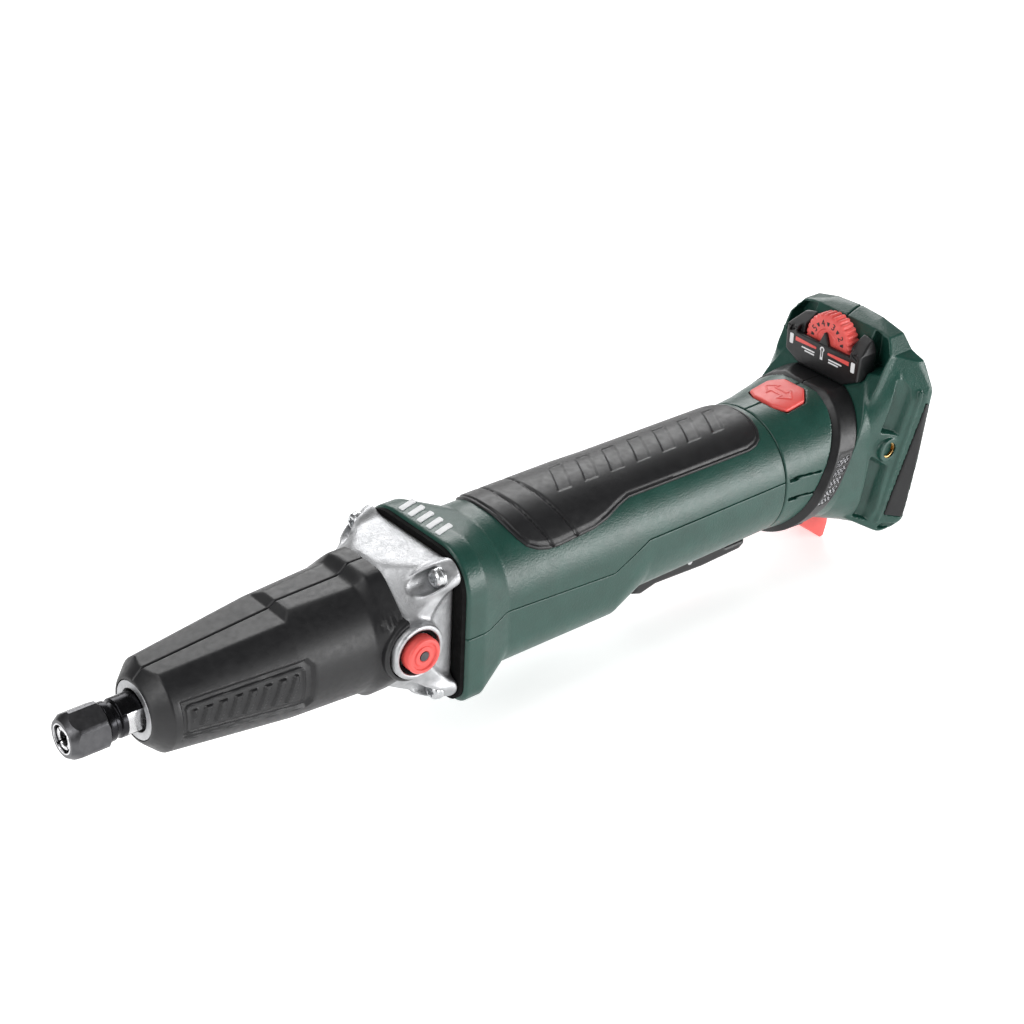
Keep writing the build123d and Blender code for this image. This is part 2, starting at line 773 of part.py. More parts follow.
def make_dial_bezel():
    """Black surround of the speed dial with its pointer."""
    bezel = end_prism(dial_box_outline(), (DIAL_BOX_FRONT, DIAL_BOX_REAR))
    well = DIAL_RADIUS + GAP
    bezel -= rod_x((DIAL_X - GAP, DIAL_BOX_REAR + 1), 0, DIAL_Z, well)
    bezel -= block((DIAL_X - GAP, DIAL_BOX_REAR + 1), (-well, well), (DIAL_Z, 60.0))
    bezel -= block((390.0, DIAL_X), (-17.0, 17.0), (48.4, 60.0))
    pointer = ((-3.6, 47.0), (3.6, 47.0), (0.0, 54.0))
    return bezel + end_prism(pointer, (DIAL_BOX_FRONT + 0.4, DIAL_X - GAP))


def make_dial_marks():
    """Plain bars printed on the front of the dial surround."""
    marks = []
    for sign in (-1, 1):
        stripe = (4.0, 16.0) if sign > 0 else (-16.0, -4.0)
        marks.append(block((DIAL_BOX_FRONT - 0.3, DIAL_BOX_FRONT), stripe, (44.4, 46.0)))
    return Compound(marks)


def make_dial_end_marks():
    """Pale blocks at the ends of the printed bars."""
    marks = []
    for sign in (-1, 1):
        ends = (18.0, 20.2) if sign > 0 else (-20.2, -18.0)
        marks.append(block((DIAL_BOX_FRONT - 0.3, DIAL_BOX_FRONT), ends, (41.8, 46.8)))
    return Compound(marks)


def make_speed_dial():
    """Knurled speed dial on a short shaft."""
    dial = rod_x((DIAL_X, DIAL_X + DIAL_WIDTH), 0, DIAL_Z, DIAL_RADIUS)
    groove = Pos(DIAL_X + DIAL_WIDTH / 2, 0, DIAL_RADIUS) * Rot(45, 0, 0) * Box(DIAL_WIDTH + 1, 1.0, 1.0)
    for i in range(36):
        dial -= Pos(0, 0, DIAL_Z) * (Rot(10 * i, 0, 0) * groove)
    dial += rod_x((DIAL_X + DIAL_WIDTH, 411.5), 0, DIAL_Z, 2.5)
    return dial


def make_potentiometer():
    """Speed potentiometer behind the dial."""
    body = rod_x((410.8, 417.0), 0, DIAL_Z, 6.0)
    return body - rod_x((410, 414.0), 0, DIAL_Z, 2.5 + GAP)


def make_swivel_button():
    """Release button for the swivelling foot, on top, with its stem."""
    half = ((361.0, 0.0), (364.0, 10.6), (376.5, 10.6), (380.5, 6.0))
    outline = list(half) + [(x, -y) for x, y in reversed(half) if y > 0]
    cap = plan_prism(outline, (28.4, 40.0)) & skin(REAR_STATIONS, 1.0)
    return cap + block((364.6, 377.0), (-5.0, 5.0), (22.0, 29.5))


def make_swivel_button_spring():
    """Spring between the shelf and the swivel release button."""
    return Pos(371.0, 0, 15.0) * coil_spring(3.0, 0.4, 6.5, 4)


def filter_slab(front, rear):
    """The leaning slice of space between two planes across the neck."""
    low, high = -50.0, 70.0
    side = [
        (front + FILTER_LEAN * low, low),
        (rear + FILTER_LEAN * low, low),
        (rear + FILTER_LEAN * high, high),
        (front + FILTER_LEAN * high, high),
    ]
    return side_prism(side, (-60, 60))


def filter_window():
    """The two side windows of the filter frame."""
    front, rear = FILTER_X
    return filter_slab(front + 2.5, rear - 2.0) & block((340, 430), (-60, 60), (-22.0, 6.0))


def make_filter_frame():
    """Dust filter frame around the neck, leaning back, with a window on each side."""
    frame = skin(REAR_STATIONS, FILTER_THICKNESS) - skin(REAR_STATIONS, 0.05)
    frame = frame & filter_slab(*FILTER_X)
    frame -= end_prism(dial_box_outline(0.1), (380.0, 411.0))
    return frame - filter_window() - foot_envelope()


def make_filter_mesh():
    """Fine mesh in the filter windows."""
    mesh = skin(REAR_STATIONS, FILTER_THICKNESS - 0.8) - skin(REAR_STATIONS, 0.1)
    return mesh & filter_window()


def make_filter_latch():
    """Latch tab below the neck, behind the filter frame."""
    side = (
        (377.0, -33.5),
        (390.0, -41.5),
        (402.5, -52.0),
        (404.6, -51.6),
        (406.5, -45.0),
        (406.5, -31.0),
        (377.0, -31.0),
    )
    return side_prism(side, (-LATCH_HALF, LATCH_HALF))


def make_terminal_block():
    """Plug block for the battery, at the closed end of the bay."""
    plug = block((BAY_FLOOR + 0.1, 418.0), (-16.0, 16.0), (18.0, BAY_TOP - 0.1))
    for y in (-11.0, -4.0, 4.0, 11.0):
        plug -= block((411.0, 416.5), (y - 1.2, y + 1.2), (10.0, 34.0))
    return plug


def make_battery_contacts():
    """Contact blades in the plug block."""
    return Compound(
        [block((411.6, 415.9), (y - 0.5, y + 0.5), (19.0, 34.0)) for y in (-11.0, -4.0, 4.0, 11.0)]
    )


def make_foot_screws():
    """Screws that hold the two foot shells together."""
    return Compound([rod_y(x, (-8.8, 8.8), z, FOOT_SCREW_RADIUS) for x, z in FOOT_SCREWS])


NODES = {
    "collet": make_collet,
    "collet_nut": make_collet_nut,
    "spindle": make_spindle,
    "front_bearing": lambda: make_bearing(FRONT_BEARING, SPINDLE_RADIUS, BEARING_RADIUS),
    "rear_bearing": lambda: make_bearing(REAR_BEARING, SPINDLE_RADIUS, BEARING_RADIUS),
    "retaining_ring": make_retaining_ring,
    "felt_seal": make_felt_seal,
    "lock_ring": make_lock_ring,
    "shaft_coupling": make_shaft_coupling,
    "motor_shaft": make_motor_shaft,
    "fan": make_fan,
    "rotor_core": make_rotor_core,
    "rotor_magnets": make_rotor_magnets,
    "stator_core": make_stator_core,
    "stator_coils": make_stator_coils,
    "motor_front_plate": lambda: make_motor_plate(178.0, 179.0, 11.0),
    "motor_front_bearing": lambda: make_bearing(179.0, SHAFT_RADIUS, 11.0, 7.0),
    "motor_rear_plate": lambda: make_motor_plate(245.0, 246.2, 9.5),
    "motor_rear_bearing": lambda: make_bearing(246.2, 4.0, 9.5, 6.5),
    "sensor_board": make_sensor_board,
    "nose_housing": make_nose_housing,
    "nose_sleeve": make_nose_sleeve,
    "nose_screws": make_nose_screws,
    "gasket_plate": make_gasket_plate,
    "spindle_lock_button": make_lock_button,
    "spindle_lock_pin": make_lock_pin,
    "spindle_lock_spring": make_lock_spring,
    "main_housing_upper": make_main_housing_upper,
    "main_housing_lower": make_main_housing_lower,
    "grip_pad": make_grip_pad,
    "collar_badge": make_collar_badge,
    "switch_module": make_switch_module,
    "control_module": make_control_module,
    "paddle": make_paddle,
    "paddle_pin": make_paddle_pin,
    "paddle_spring": make_paddle_spring,
    "paddle_lock_lever": make_lock_lever,
    "lock_lever_pin": make_lock_lever_pin,
    "swivel_ring": make_swivel_ring,
    "foot_shell_left": lambda: make_foot_half(-1),
    "foot_shell_right": lambda: make_foot_half(1),
    "bumper_left": lambda: make_bumper(-1),
    "bumper_right": lambda: make_bumper(1),
    "threaded_insert_left": lambda: make_threaded_insert(-1),
    "threaded_insert_right": lambda: make_threaded_insert(1),
    "dial_bezel": make_dial_bezel,
    "dial_marks": make_dial_marks,
    "dial_end_marks": make_dial_end_marks,
    "speed_dial": make_speed_dial,
    "speed_potentiometer": make_potentiometer,
    "swivel_button": make_swivel_button,
    "swivel_button_spring": make_swivel_button_spring,
    "foot_screws": make_foot_screws,
    "filter_frame": make_filter_frame,
    "filter_mesh": make_filter_mesh,
    "filter_latch": make_filter_latch,
    "terminal_block": make_terminal_block,
    "battery_contacts": make_battery_contacts,
}

os.makedirs("parts", exist_ok=True)
for name, make in NODES.items():
    export_step(make(), f"parts/{name}.step")
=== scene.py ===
"""Looks of the cordless die grinder: rubber nose, cast flange, tubular body, paddle and battery foot.

Lengths are millimetres in the row frame until a mesh is made, when they become metres.
"""

import math

import bmesh
import bpy
import numpy as np
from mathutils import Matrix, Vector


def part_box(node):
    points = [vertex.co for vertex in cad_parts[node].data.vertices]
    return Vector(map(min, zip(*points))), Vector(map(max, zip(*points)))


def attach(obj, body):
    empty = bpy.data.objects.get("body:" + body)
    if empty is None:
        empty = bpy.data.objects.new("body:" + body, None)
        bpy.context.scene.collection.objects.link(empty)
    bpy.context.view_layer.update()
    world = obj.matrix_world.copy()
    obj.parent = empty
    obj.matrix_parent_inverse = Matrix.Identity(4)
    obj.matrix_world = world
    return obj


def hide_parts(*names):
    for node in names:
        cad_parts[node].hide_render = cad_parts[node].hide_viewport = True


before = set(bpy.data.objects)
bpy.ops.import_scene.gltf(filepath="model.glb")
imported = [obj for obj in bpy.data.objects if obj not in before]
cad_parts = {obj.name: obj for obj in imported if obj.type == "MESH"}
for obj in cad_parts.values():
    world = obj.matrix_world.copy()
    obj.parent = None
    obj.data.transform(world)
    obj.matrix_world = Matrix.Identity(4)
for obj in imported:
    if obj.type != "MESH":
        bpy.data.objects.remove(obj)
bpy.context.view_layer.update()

import openvdb as vdb
from mathutils import Matrix, Vector

MM = 0.001

# --- places taken over from the frame --------------------------------------------------------------


def cad_box(node):
    """Lowest and highest corner of a CAD node, in millimetres."""
    low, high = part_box(node)
    return np.array(low) / MM, np.array(high) / MM


SLEEVE_FRONT = cad_box("nose_sleeve")[0][0]
SLEEVE_REAR = cad_box("nose_sleeve")[1][0]
FLANGE_REAR = cad_box("nose_housing")[1][0]
BODY_FRONT = cad_box("main_housing_upper")[0][0]
BODY_REAR = cad_box("main_housing_upper")[1][0]
FOOT_FRONT = cad_box("foot_shell_left")[0][0]
BUTTON_LOW, BUTTON_HIGH = cad_box("spindle_lock_button")
BUTTON_X = (BUTTON_LOW[0] + BUTTON_HIGH[0]) / 2
BUTTON_FACE = BUTTON_LOW[1]
DIAL_LOW, DIAL_HIGH = cad_box("speed_dial")
DIAL_X = DIAL_LOW[0]
DIAL_Z = (DIAL_LOW[2] + DIAL_HIGH[2]) / 2
DIAL_RADIUS = (DIAL_HIGH[2] - DIAL_LOW[2]) / 2
BEZEL_LOW, BEZEL_HIGH = cad_box("dial_bezel")
INSERT_LOW, INSERT_HIGH = cad_box("threaded_insert_left")
INSERT_X = (INSERT_LOW[0] + INSERT_HIGH[0]) / 2
INSERT_Z = (INSERT_LOW[2] + INSERT_HIGH[2]) / 2
SCREW_OFFSET = cad_box("nose_screws")[1][1] - 4.0
LEVER_X, LEVER_Z = 312.0, -31.5
PADDLE_LOW, PADDLE_HIGH = cad_box("paddle")

# --- sections of the skin: x, half width, top, bottom, top corner radius, bottom corner radius -----
BODY_STATIONS = (
    (BODY_FRONT, 34.5, 34.5, -35.5, 19.0, 7.0),
    (172.5, 34.5, 34.5, -35.5, 19.0, 7.0),
    (188.0, 31.0, 31.0, -33.0, 30.0, 18.0),
    (250.0, 31.0, 31.0, -33.0, 30.0, 18.0),
    (268.0, 30.5, 30.5, -30.5, 29.5, 28.0),
    (BODY_REAR, 30.0, 30.0, -30.0, 29.0, 29.0),
)
REAR_STATIONS = (
    (FOOT_FRONT, 30.0, 30.0, -30.0, 29.0, 29.0),
    (362.0, 30.4, 30.4, -30.4, 28.0, 28.0),
    (384.0, 32.3, 33.0, -32.6, 27.0, 27.0),
    (398.0, 33.5, 37.5, -35.4, 22.0, 20.0),
    (412.0, 38.0, 48.0, -37.5, 14.0, 10.0),
)
# upper edge of the lower body shell, x and z
PARTING = ((160.0, -3.0), (176.0, -3.0), (186.0, 0.0), (246.0, -3.5), (266.0, 5.8), (352.0, 5.8))
FILTER_LEAN = 0.45


# --- mesh tools ------------------------------------------------------------------------------------
def add_object(name, mesh):
    piece = bpy.data.objects.new(name, mesh)
    bpy.context.scene.collection.objects.link(piece)
    return piece


def mesh_from(name, points, faces):
    """A mesh object from points in millimetres."""
    mesh = bpy.data.meshes.new(name)
    mesh.from_pydata((np.asarray(points, float) * MM).tolist(), [], [list(map(int, face)) for face in faces])
    form = bmesh.new()
    form.from_mesh(mesh)
    bmesh.ops.recalc_face_normals(form, faces=form.faces)
    form.to_mesh(mesh)
    form.free()
    return add_object(name, mesh)


def finish_mesh(piece, sharp=38.0):
    """Smooth shading with hard edges where faces meet at more than the given angle."""
    piece.data.shade_smooth()
    piece.data.set_sharp_from_angle(angle=math.radians(sharp))
    return piece


def place(piece, body, slot, material, *nodes, sharp=38.0):
    """Material, body and the CAD nodes that a finished piece stands for; the slot argument is not used."""
    finish_mesh(piece, sharp)
    if not any(piece.data.materials):
        piece.data.materials.clear()
        piece.data.materials.append(material)
    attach(piece, body)
    if nodes:
        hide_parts(*nodes)
    return piece


def bake_modifiers(piece):
    """Replaces the piece's mesh with its modified one."""
    graph = bpy.context.evaluated_depsgraph_get()
    graph.update()
    mesh = bpy.data.meshes.new_from_object(piece.evaluated_get(graph))
    piece.modifiers.clear()
    piece.data = mesh
    return piece


def combine(piece, tool, operation="DIFFERENCE"):
    """Cuts, joins or intersects two closed meshes and removes the tool."""
    step = piece.modifiers.new("combine", "BOOLEAN")
    step.operation = operation
    step.solver = "MANIFOLD"
    step.object = tool
    bpy.context.view_layer.update()
    bake_modifiers(piece)
    bpy.data.objects.remove(tool)
    return piece


def bevelled(piece, width, segments=2, angle=25.0):
    """Rounds the edges of a mesh that meet at more than the given angle."""
    step = piece.modifiers.new("bevel", "BEVEL")
    step.width = width * MM
    step.segments = segments
    step.limit_method = "ANGLE"
    step.angle_limit = math.radians(angle)
    step.use_clamp_overlap = True
    step.harden_normals = False
    bpy.context.view_layer.update()
    return bake_modifiers(piece)


def grid_faces(rows, columns, wrap_rows=False, wrap_columns=False):
    """Quads of a grid whose points are numbered row by row."""
    row = np.arange(rows if wrap_rows else rows - 1)
    column = np.arange(columns if wrap_columns else columns - 1)
    row, column = np.meshgrid(row, column, indexing="ij")
    after_row, after_column = (row + 1) % rows, (column + 1) % columns
    corners = (
        row * columns + column,
        row * columns + after_column,
        after_row * columns + after_column,
        after_row * columns + column,
    )
    return np.stack([corner.ravel() for corner in corners], axis=1).tolist()


AXES = {"x": (1, 2, 0), "y": (0, 2, 1), "z": (0, 1, 2)}


def prism(name, outline, axis, low, high):
    """An outline, given in the two other axes, extruded along one axis."""
    first, second, along = AXES[axis]
    points = np.zeros((2 * len(outline), 3))
    for end, level in enumerate((low, high)):
        rows = slice(end * len(outline), (end + 1) * len(outline))
        points[rows, first] = [point[0] for point in outline]
        points[rows, second] = [point[1] for point in outline]
        points[rows, along] = level
    count = len(outline)
    faces = [list(range(count)), list(range(count, 2 * count))[::-1]]
    faces += [[i, (i + 1) % count, count + (i + 1) % count, count + i] for i in range(count)]
    return mesh_from(name, points, faces)


def block(name, x, y, z):
    outline = ((x[0], y[0]), (x[1], y[0]), (x[1], y[1]), (x[0], y[1]))
    return prism(name, outline, "z", *z)


def circle_points(centre, radius, count=64):
    turn = [2 * math.pi * i / count for i in range(count)]
    return [(centre[0] + radius * math.cos(a), centre[1] + radius * math.sin(a)) for a in turn]


def rod(name, axis, centre, radius, low, high, count=64):
    return prism(name, circle_points(centre, radius, count), axis, low, high)


def rounded_outline(outline, radius, steps=5, closed=True):
    """The outline with each corner turned into an arc of up to the given radius."""
    result = []
    count = len(outline)
    radii = radius if isinstance(radius, (list, tuple)) else [radius] * count
    for i, here in enumerate(outline):
        here = Vector(here)
        if not closed and i in (0, count - 1):
            result.append(tuple(here))
            continue
        before = Vector(outline[i - 1]) - here
        after = Vector(outline[(i + 1) % count]) - here
        turn = before.angle(after)
        if radii[i] <= 0 or abs(turn - math.pi) < 0.02:
            result.append(tuple(here))
            continue
        reach = radii[i] / math.tan(turn / 2)
        reach = min(reach, before.length * 0.48, after.length * 0.48)
        real = reach * math.tan(turn / 2)
        centre = here + (before.normalized() + after.normalized()).normalized() * (real / math.sin(turn / 2))
        start = here + before.normalized() * reach - centre
        end = here + after.normalized() * reach - centre
        sweep = start.angle_signed(end)
        for k in range(steps + 1):
            part = sweep * k / steps
            spun = Vector((
                start.x * math.cos(part) + start.y * math.sin(part),
                -start.x * math.sin(part) + start.y * math.cos(part),
            ))
            result.append(tuple(centre + spun))
    return result


def lathe(name, profile, axis="x", centre=(0.0, 0.0), segments=96, closed=True):
    """Turns a profile of (place along the axis, radius) about a line parallel to an axis."""
    first, second, along = AXES[axis]
    rows, columns = len(profile), segments
    points = np.zeros((rows * columns, 3))
    angle = np.tile(np.linspace(0, 2 * math.pi, columns, endpoint=False), rows)
    radius = np.repeat([point[1] for point in profile], columns)
    points[:, along] = np.repeat([point[0] for point in profile], columns)
    points[:, first] = centre[0] + radius * np.cos(angle)
    points[:, second] = centre[1] + radius * np.sin(angle)
    piece = mesh_from(name, points, grid_faces(rows, columns, closed, True))
    form = bmesh.new()
    form.from_mesh(piece.data)
    bmesh.ops.remove_doubles(form, verts=form.verts, dist=0.002 * MM)
    bmesh.ops.dissolve_degenerate(form, edges=form.edges, dist=0.001 * MM)
    bmesh.ops.recalc_face_normals(form, faces=form.faces)
    form.to_mesh(piece.data)
    form.free()
    return piece


# --- solid fields, meshed where they cross zero ----------------------------------------------------
class Field:
    """A block of sample points; shapes are arrays of signed distance over it, negative inside."""

    def __init__(self, low, high, step):
        self.step = step
        self.low = np.array(low, float)
        counts = [int(math.ceil((b - a) / step)) + 1 for a, b in zip(low, high)]
        axes = [a + step * np.arange(n) for a, n in zip(low, counts)]
        self.x = axes[0][:, None, None].astype(np.float32)
        self.y = axes[1][None, :, None].astype(np.float32)
        self.z = axes[2][None, None, :].astype(np.float32)
        self.shape = tuple(counts)

    def mesh(self, name, values):
        """The surface of a shape as a closed quad mesh."""
        values = np.ascontiguousarray(np.broadcast_to(values, self.shape), dtype=np.float32)
        values = np.clip(values, -4 * self.step, 4 * self.step)
        grid = vdb.FloatGrid(4 * self.step)
        grid.copyFromArray(values)
        points, faces = grid.convertToQuads(isovalue=0)
        return mesh_from(name, points * self.step + self.low, faces)


def meet(a, b, blend=0.0):
    """Where both shapes are, with the new edge rounded over a width of blend."""
    if blend <= 0:
        return np.maximum(a, b)
    lap = np.maximum(blend - np.abs(a - b), 0) / blend
    return np.maximum(a, b) + lap * lap * blend / 4


def join(a, b, blend=0.0):
    return -meet(-a, -b, blend)


def cut(a, b, blend=0.0):
    return meet(a, -b, blend)


def polygon(outline, u, v):
    """Signed distance to a closed outline in the (u, v) plane."""
    best, sign = None, None
    count = len(outline)
    for i in range(count):
        (au, av), (bu, bv) = outline[i], outline[(i + 1) % count]
        du, dv = bu - au, bv - av
        along = np.clip(((u - au) * du + (v - av) * dv) / (du * du + dv * dv), 0, 1)
        away = (u - au - along * du) ** 2 + (v - av - along * dv) ** 2
        crosses = ((av <= v) & (bv > v)) | ((bv <= v) & (av > v))
        side = (bu - au) * (v - av) / np.where(np.abs(dv) < 1e-9, 1e-9, dv) + au > u
        flip = np.where(crosses & side, -1.0, 1.0)
        best = away if best is None else np.minimum(best, away)
        sign = flip if sign is None else sign * flip
    return (np.sqrt(best) * sign).astype(np.float32)


def slab(value, low, high):
    """Signed distance to the space between two levels."""
    return np.maximum(low - value, value - high)


def disc(u, v, centre, radius):
    return np.hypot(u - centre[0], v - centre[1]) - radius


def section_radius(angle, half, top, bottom, top_round, bottom_round):
    """Distance from the axis to a rounded rectangle, along a ray at an angle from +Y."""
    high = np.where(np.sin(angle) >= 0, top, -bottom)
    corner = np.where(np.sin(angle) >= 0, top_round, bottom_round)
    across, up = np.abs(np.cos(angle)), np.abs(np.sin(angle))
    centre_y, centre_z = half - corner, high - corner
    along = across * centre_y + up * centre_z
    inside = along**2 - centre_y**2 - centre_z**2 + corner**2
    arc = along + np.sqrt(np.maximum(inside, 0))
    side = half / np.maximum(across, 1e-6)
    lid = high / np.maximum(up, 1e-6)
    return np.where(side * up <= centre_z, side, np.where(lid * across <= centre_y, lid, arc))


def skin_radius(stations, x, angle, soften=0.0):
    """Polar radius of the skin through the stations, with its changes of slope softened along X."""
    places = [station[0] for station in stations]
    shifts = (-1.0, -0.5, 0.0, 0.5, 1.0) if soften else (0.0,)
    values = []
    for k in range(1, 6):
        column = [station[k] for station in stations]
        values.append(sum(np.interp(x + shift * soften, places, column) for shift in shifts) / len(shifts))
    return section_radius(angle, *values)


def skin_field(field, stations, grow=0.0):
    """Signed distance, near enough, to the skin through the stations, without its ends."""
    angle = np.arctan2(field.z, field.y)
    reach = np.hypot(field.y, field.z)
    return reach - skin_radius(stations, field.x, angle) - grow


def edge_round(distance, radius):
    """How far a surface drops at a distance from its rounded edge."""
    inside = np.clip(radius - distance, 0, radius)
    return radius - np.sqrt(radius**2 - inside**2)


def edge_steps(radius, count=5):
    """Distances from an edge at which its rounding is sampled."""
    return [radius * (1 - math.cos(math.pi / 2 * i / count)) for i in range(count + 1)]


# --- procedural materials --------------------------------------------------------------------------
class Shade:
    """A node material built step by step around one Principled shader."""

    def __init__(self, name, **settings):
        self.material = bpy.data.materials.new(name)
        self.material.use_nodes = True
        self.tree = self.material.node_tree
        self.shader = self.tree.nodes["Principled BSDF"]
        self.space = self.tree.nodes.new("ShaderNodeTexCoord").outputs["Object"]
        for socket, value in settings.items():
            self.shader.inputs[socket.replace("_", " ")].default_value = value

    def noise(self, size, detail=3.0, stretch=(1, 1, 1), roughness=0.5):
        """Noise with features of a size in millimetres."""
        mapping = self.tree.nodes.new("ShaderNodeMapping")
        mapping.inputs["Scale"].default_value = stretch
        self.tree.links.new(self.space, mapping.inputs["Vector"])
        node = self.tree.nodes.new("ShaderNodeTexNoise")
        node.inputs["Scale"].default_value = 1.0 / (size * MM)
        node.inputs["Detail"].default_value = detail
        node.inputs["Roughness"].default_value = roughness
        self.tree.links.new(mapping.outputs["Vector"], node.inputs["Vector"])
        return node.outputs["Fac"]

    def ramp(self, value, stops):
        node = self.tree.nodes.new("ShaderNodeValToRGB")
        elements = node.color_ramp.elements
        for index, (place, colour) in enumerate(stops):
            element = elements[index] if index < 2 else elements.new(place)
            element.position = place
            element.color = (*colour, 1.0)
        self.tree.links.new(value, node.inputs["Fac"])
        return node.outputs["Color"]

    def range(self, value, low, high, start=0.3, end=0.7):
        node = self.tree.nodes.new("ShaderNodeMapRange")
        node.inputs["From Min"].default_value = start
        node.inputs["From Max"].default_value = end
        node.inputs["To Min"].default_value = low
        node.inputs["To Max"].default_value = high
        self.tree.links.new(value, node.inputs["Value"])
        return node.outputs["Result"]

    def colour(self, value, stops):
        self.tree.links.new(self.ramp(value, stops), self.shader.inputs["Base Color"])
        return self

    def roughness(self, value, low, high):
        self.tree.links.new(self.range(value, low, high), self.shader.inputs["Roughness"])
        return self

    def bump(self, value, strength, distance):
        """Relief with a depth in millimetres, on top of any relief given before."""
        node = self.tree.nodes.new("ShaderNodeBump")
        node.inputs["Strength"].default_value = strength
        node.inputs["Distance"].default_value = distance * MM
        self.tree.links.new(value, node.inputs["Height"])
        linked = self.shader.inputs["Normal"].links
        if linked:
            self.tree.links.new(linked[0].from_socket, node.inputs["Normal"])
        self.tree.links.new(node.outputs["Normal"], self.shader.inputs["Normal"])
        return self


def moulded(name, dark, light, rough, grain=0.5, depth=0.03, strength=0.35, **settings):
    """Moulded plastic or rubber with a fine eroded grain."""
    shade = Shade(name, **settings)
    shade.colour(shade.noise(9.0, 5.0), ((0.3, dark), (0.7, light)))
    shade.roughness(shade.noise(2.5, 4.0), *rough)
    shade.bump(shade.noise(grain, 2.0), strength, depth)
    return shade.material


def metal(name, dark, light, rough, grain=0.25, depth=0.01, strength=0.3, stretch=(1, 1, 1)):
    """Bare metal with a fine finish, cast, ground or turned."""
    shade = Shade(name, Metallic=1.0)
    shade.colour(shade.noise(4.0, 4.0, stretch), ((0.3, dark), (0.7, light)))
    shade.roughness(shade.noise(1.4, 4.0, stretch), *rough)
    shade.bump(shade.noise(grain, 3.0, stretch), strength, depth)
    return shade.material


GREEN = moulded(
    "green_nylon", (0.006, 0.047, 0.034), (0.010, 0.062, 0.046), (0.30, 0.40), 0.8, 0.12, 1.0,
    Specular_IOR_Level=0.6,
)
RUBBER = moulded("soft_rubber", (0.005, 0.005, 0.006), (0.009, 0.009, 0.010), (0.38, 0.5), 0.6, 0.03, 0.4)
BLACK = moulded("black_nylon", (0.006, 0.006, 0.0065), (0.010, 0.010, 0.011), (0.34, 0.46), 0.5, 0.03, 0.4)
# The gasket plate is a real black part; this near-black, matte, barely shiny material is painted shade on it
# and on the ring around the lock button, darker than the other black parts so these gaps read as shadow.
GAP_SHADE_BLACK = moulded("painted_gap_shade_black", (0.002, 0.002, 0.002), (0.004, 0.004, 0.004), (0.8, 0.95),
                    Specular_IOR_Level=0.15)
RED = moulded("red_nylon", (0.74, 0.085, 0.075), (0.84, 0.115, 0.10), (0.34, 0.46), 0.5, 0.02, 0.25)
WHITE = moulded("white_print", (0.78, 0.79, 0.80), (0.86, 0.87, 0.88), (0.4, 0.55), 0.6, 0.02, 0.3)
INK = moulded("dark_ink", (0.015, 0.012, 0.012), (0.03, 0.025, 0.025), (0.5, 0.6), 0.4, 0.01, 0.2)
CAST = metal("cast_alloy", (0.40, 0.405, 0.415), (0.54, 0.545, 0.555), (0.42, 0.56), 0.7, 0.12, 1.0)
DARK_STEEL = metal("blackened_steel", (0.085, 0.085, 0.09), (0.12, 0.12, 0.125), (0.3, 0.42), 0.3, 0.02, 0.3)
BLACK_STEEL = metal("black_oxide", (0.02, 0.02, 0.022), (0.035, 0.035, 0.038), (0.2, 0.32), 0.4, 0.01, 0.2)
BRIGHT = metal("ground_steel", (0.55, 0.55, 0.56), (0.72, 0.72, 0.73), (0.16, 0.3), 0.3, 0.01, 0.3)
ZINC = metal("zinc_plate", (0.50, 0.51, 0.52), (0.66, 0.67, 0.68), (0.24, 0.38), 0.5, 0.02, 0.4)
SPRING = metal("spring_wire", (0.30, 0.30, 0.31), (0.42, 0.42, 0.43), (0.24, 0.36), 0.3, 0.01, 0.3)
BRASS = metal("turned_brass", (0.62, 0.42, 0.17), (0.78, 0.55, 0.25), (0.2, 0.34), 0.3, 0.01, 0.3)
COPPER = metal("enamelled_copper", (0.45, 0.17, 0.07), (0.62, 0.27, 0.12), (0.26, 0.4), 0.3, 0.02, 0.4)
STACK = metal("sheet_stack", (0.16, 0.17, 0.18), (0.30, 0.31, 0.33), (0.3, 0.5), 0.35, 0.05, 0.8,
              (1, 0.05, 0.05))
FELT = moulded("pressed_felt", (0.16, 0.155, 0.14), (0.26, 0.25, 0.22), (0.8, 0.95), 0.3, 0.2, 0.9)
BOARD = moulded("circuit_board", (0.01, 0.10, 0.035), (0.02, 0.16, 0.06), (0.3, 0.45), 0.8, 0.03, 0.3)
MESH = metal("woven_wire", (0.20, 0.20, 0.21), (0.33, 0.33, 0.34), (0.3, 0.45), 0.2, 0.01, 0.4)

CARRIED = {
    "felt_seal": FELT, "front_bearing": BRIGHT, "rear_bearing": BRIGHT, "gasket_plate": GAP_SHADE_BLACK,
    "stator_core": STACK, "stator_coils": COPPER, "motor_front_plate": BLACK, "motor_rear_plate": BLACK,
    "motor_front_bearing": BRIGHT, "motor_rear_bearing": BRIGHT, "sensor_board": BOARD,
    "switch_module": BLACK, "control_module": BLACK, "paddle_pin": BRIGHT, "paddle_spring": SPRING,
    "spindle_lock_spring": SPRING, "swivel_ring": BLACK, "lock_ring": BRIGHT, "shaft_coupling": BRIGHT,
    "motor_shaft": BRIGHT, "fan": BLACK, "rotor_core": STACK, "rotor_magnets": BRIGHT,
    "spindle_lock_pin": DARK_STEEL, "lock_lever_pin": BRIGHT, "foot_screws": ZINC,
    "speed_potentiometer": BLACK, "swivel_button_spring": SPRING, "terminal_block": BLACK,
    "battery_contacts": BRASS,
}
for node, material in CARRIED.items():
    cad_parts[node].data.materials.clear()
    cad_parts[node].data.materials.append(material)


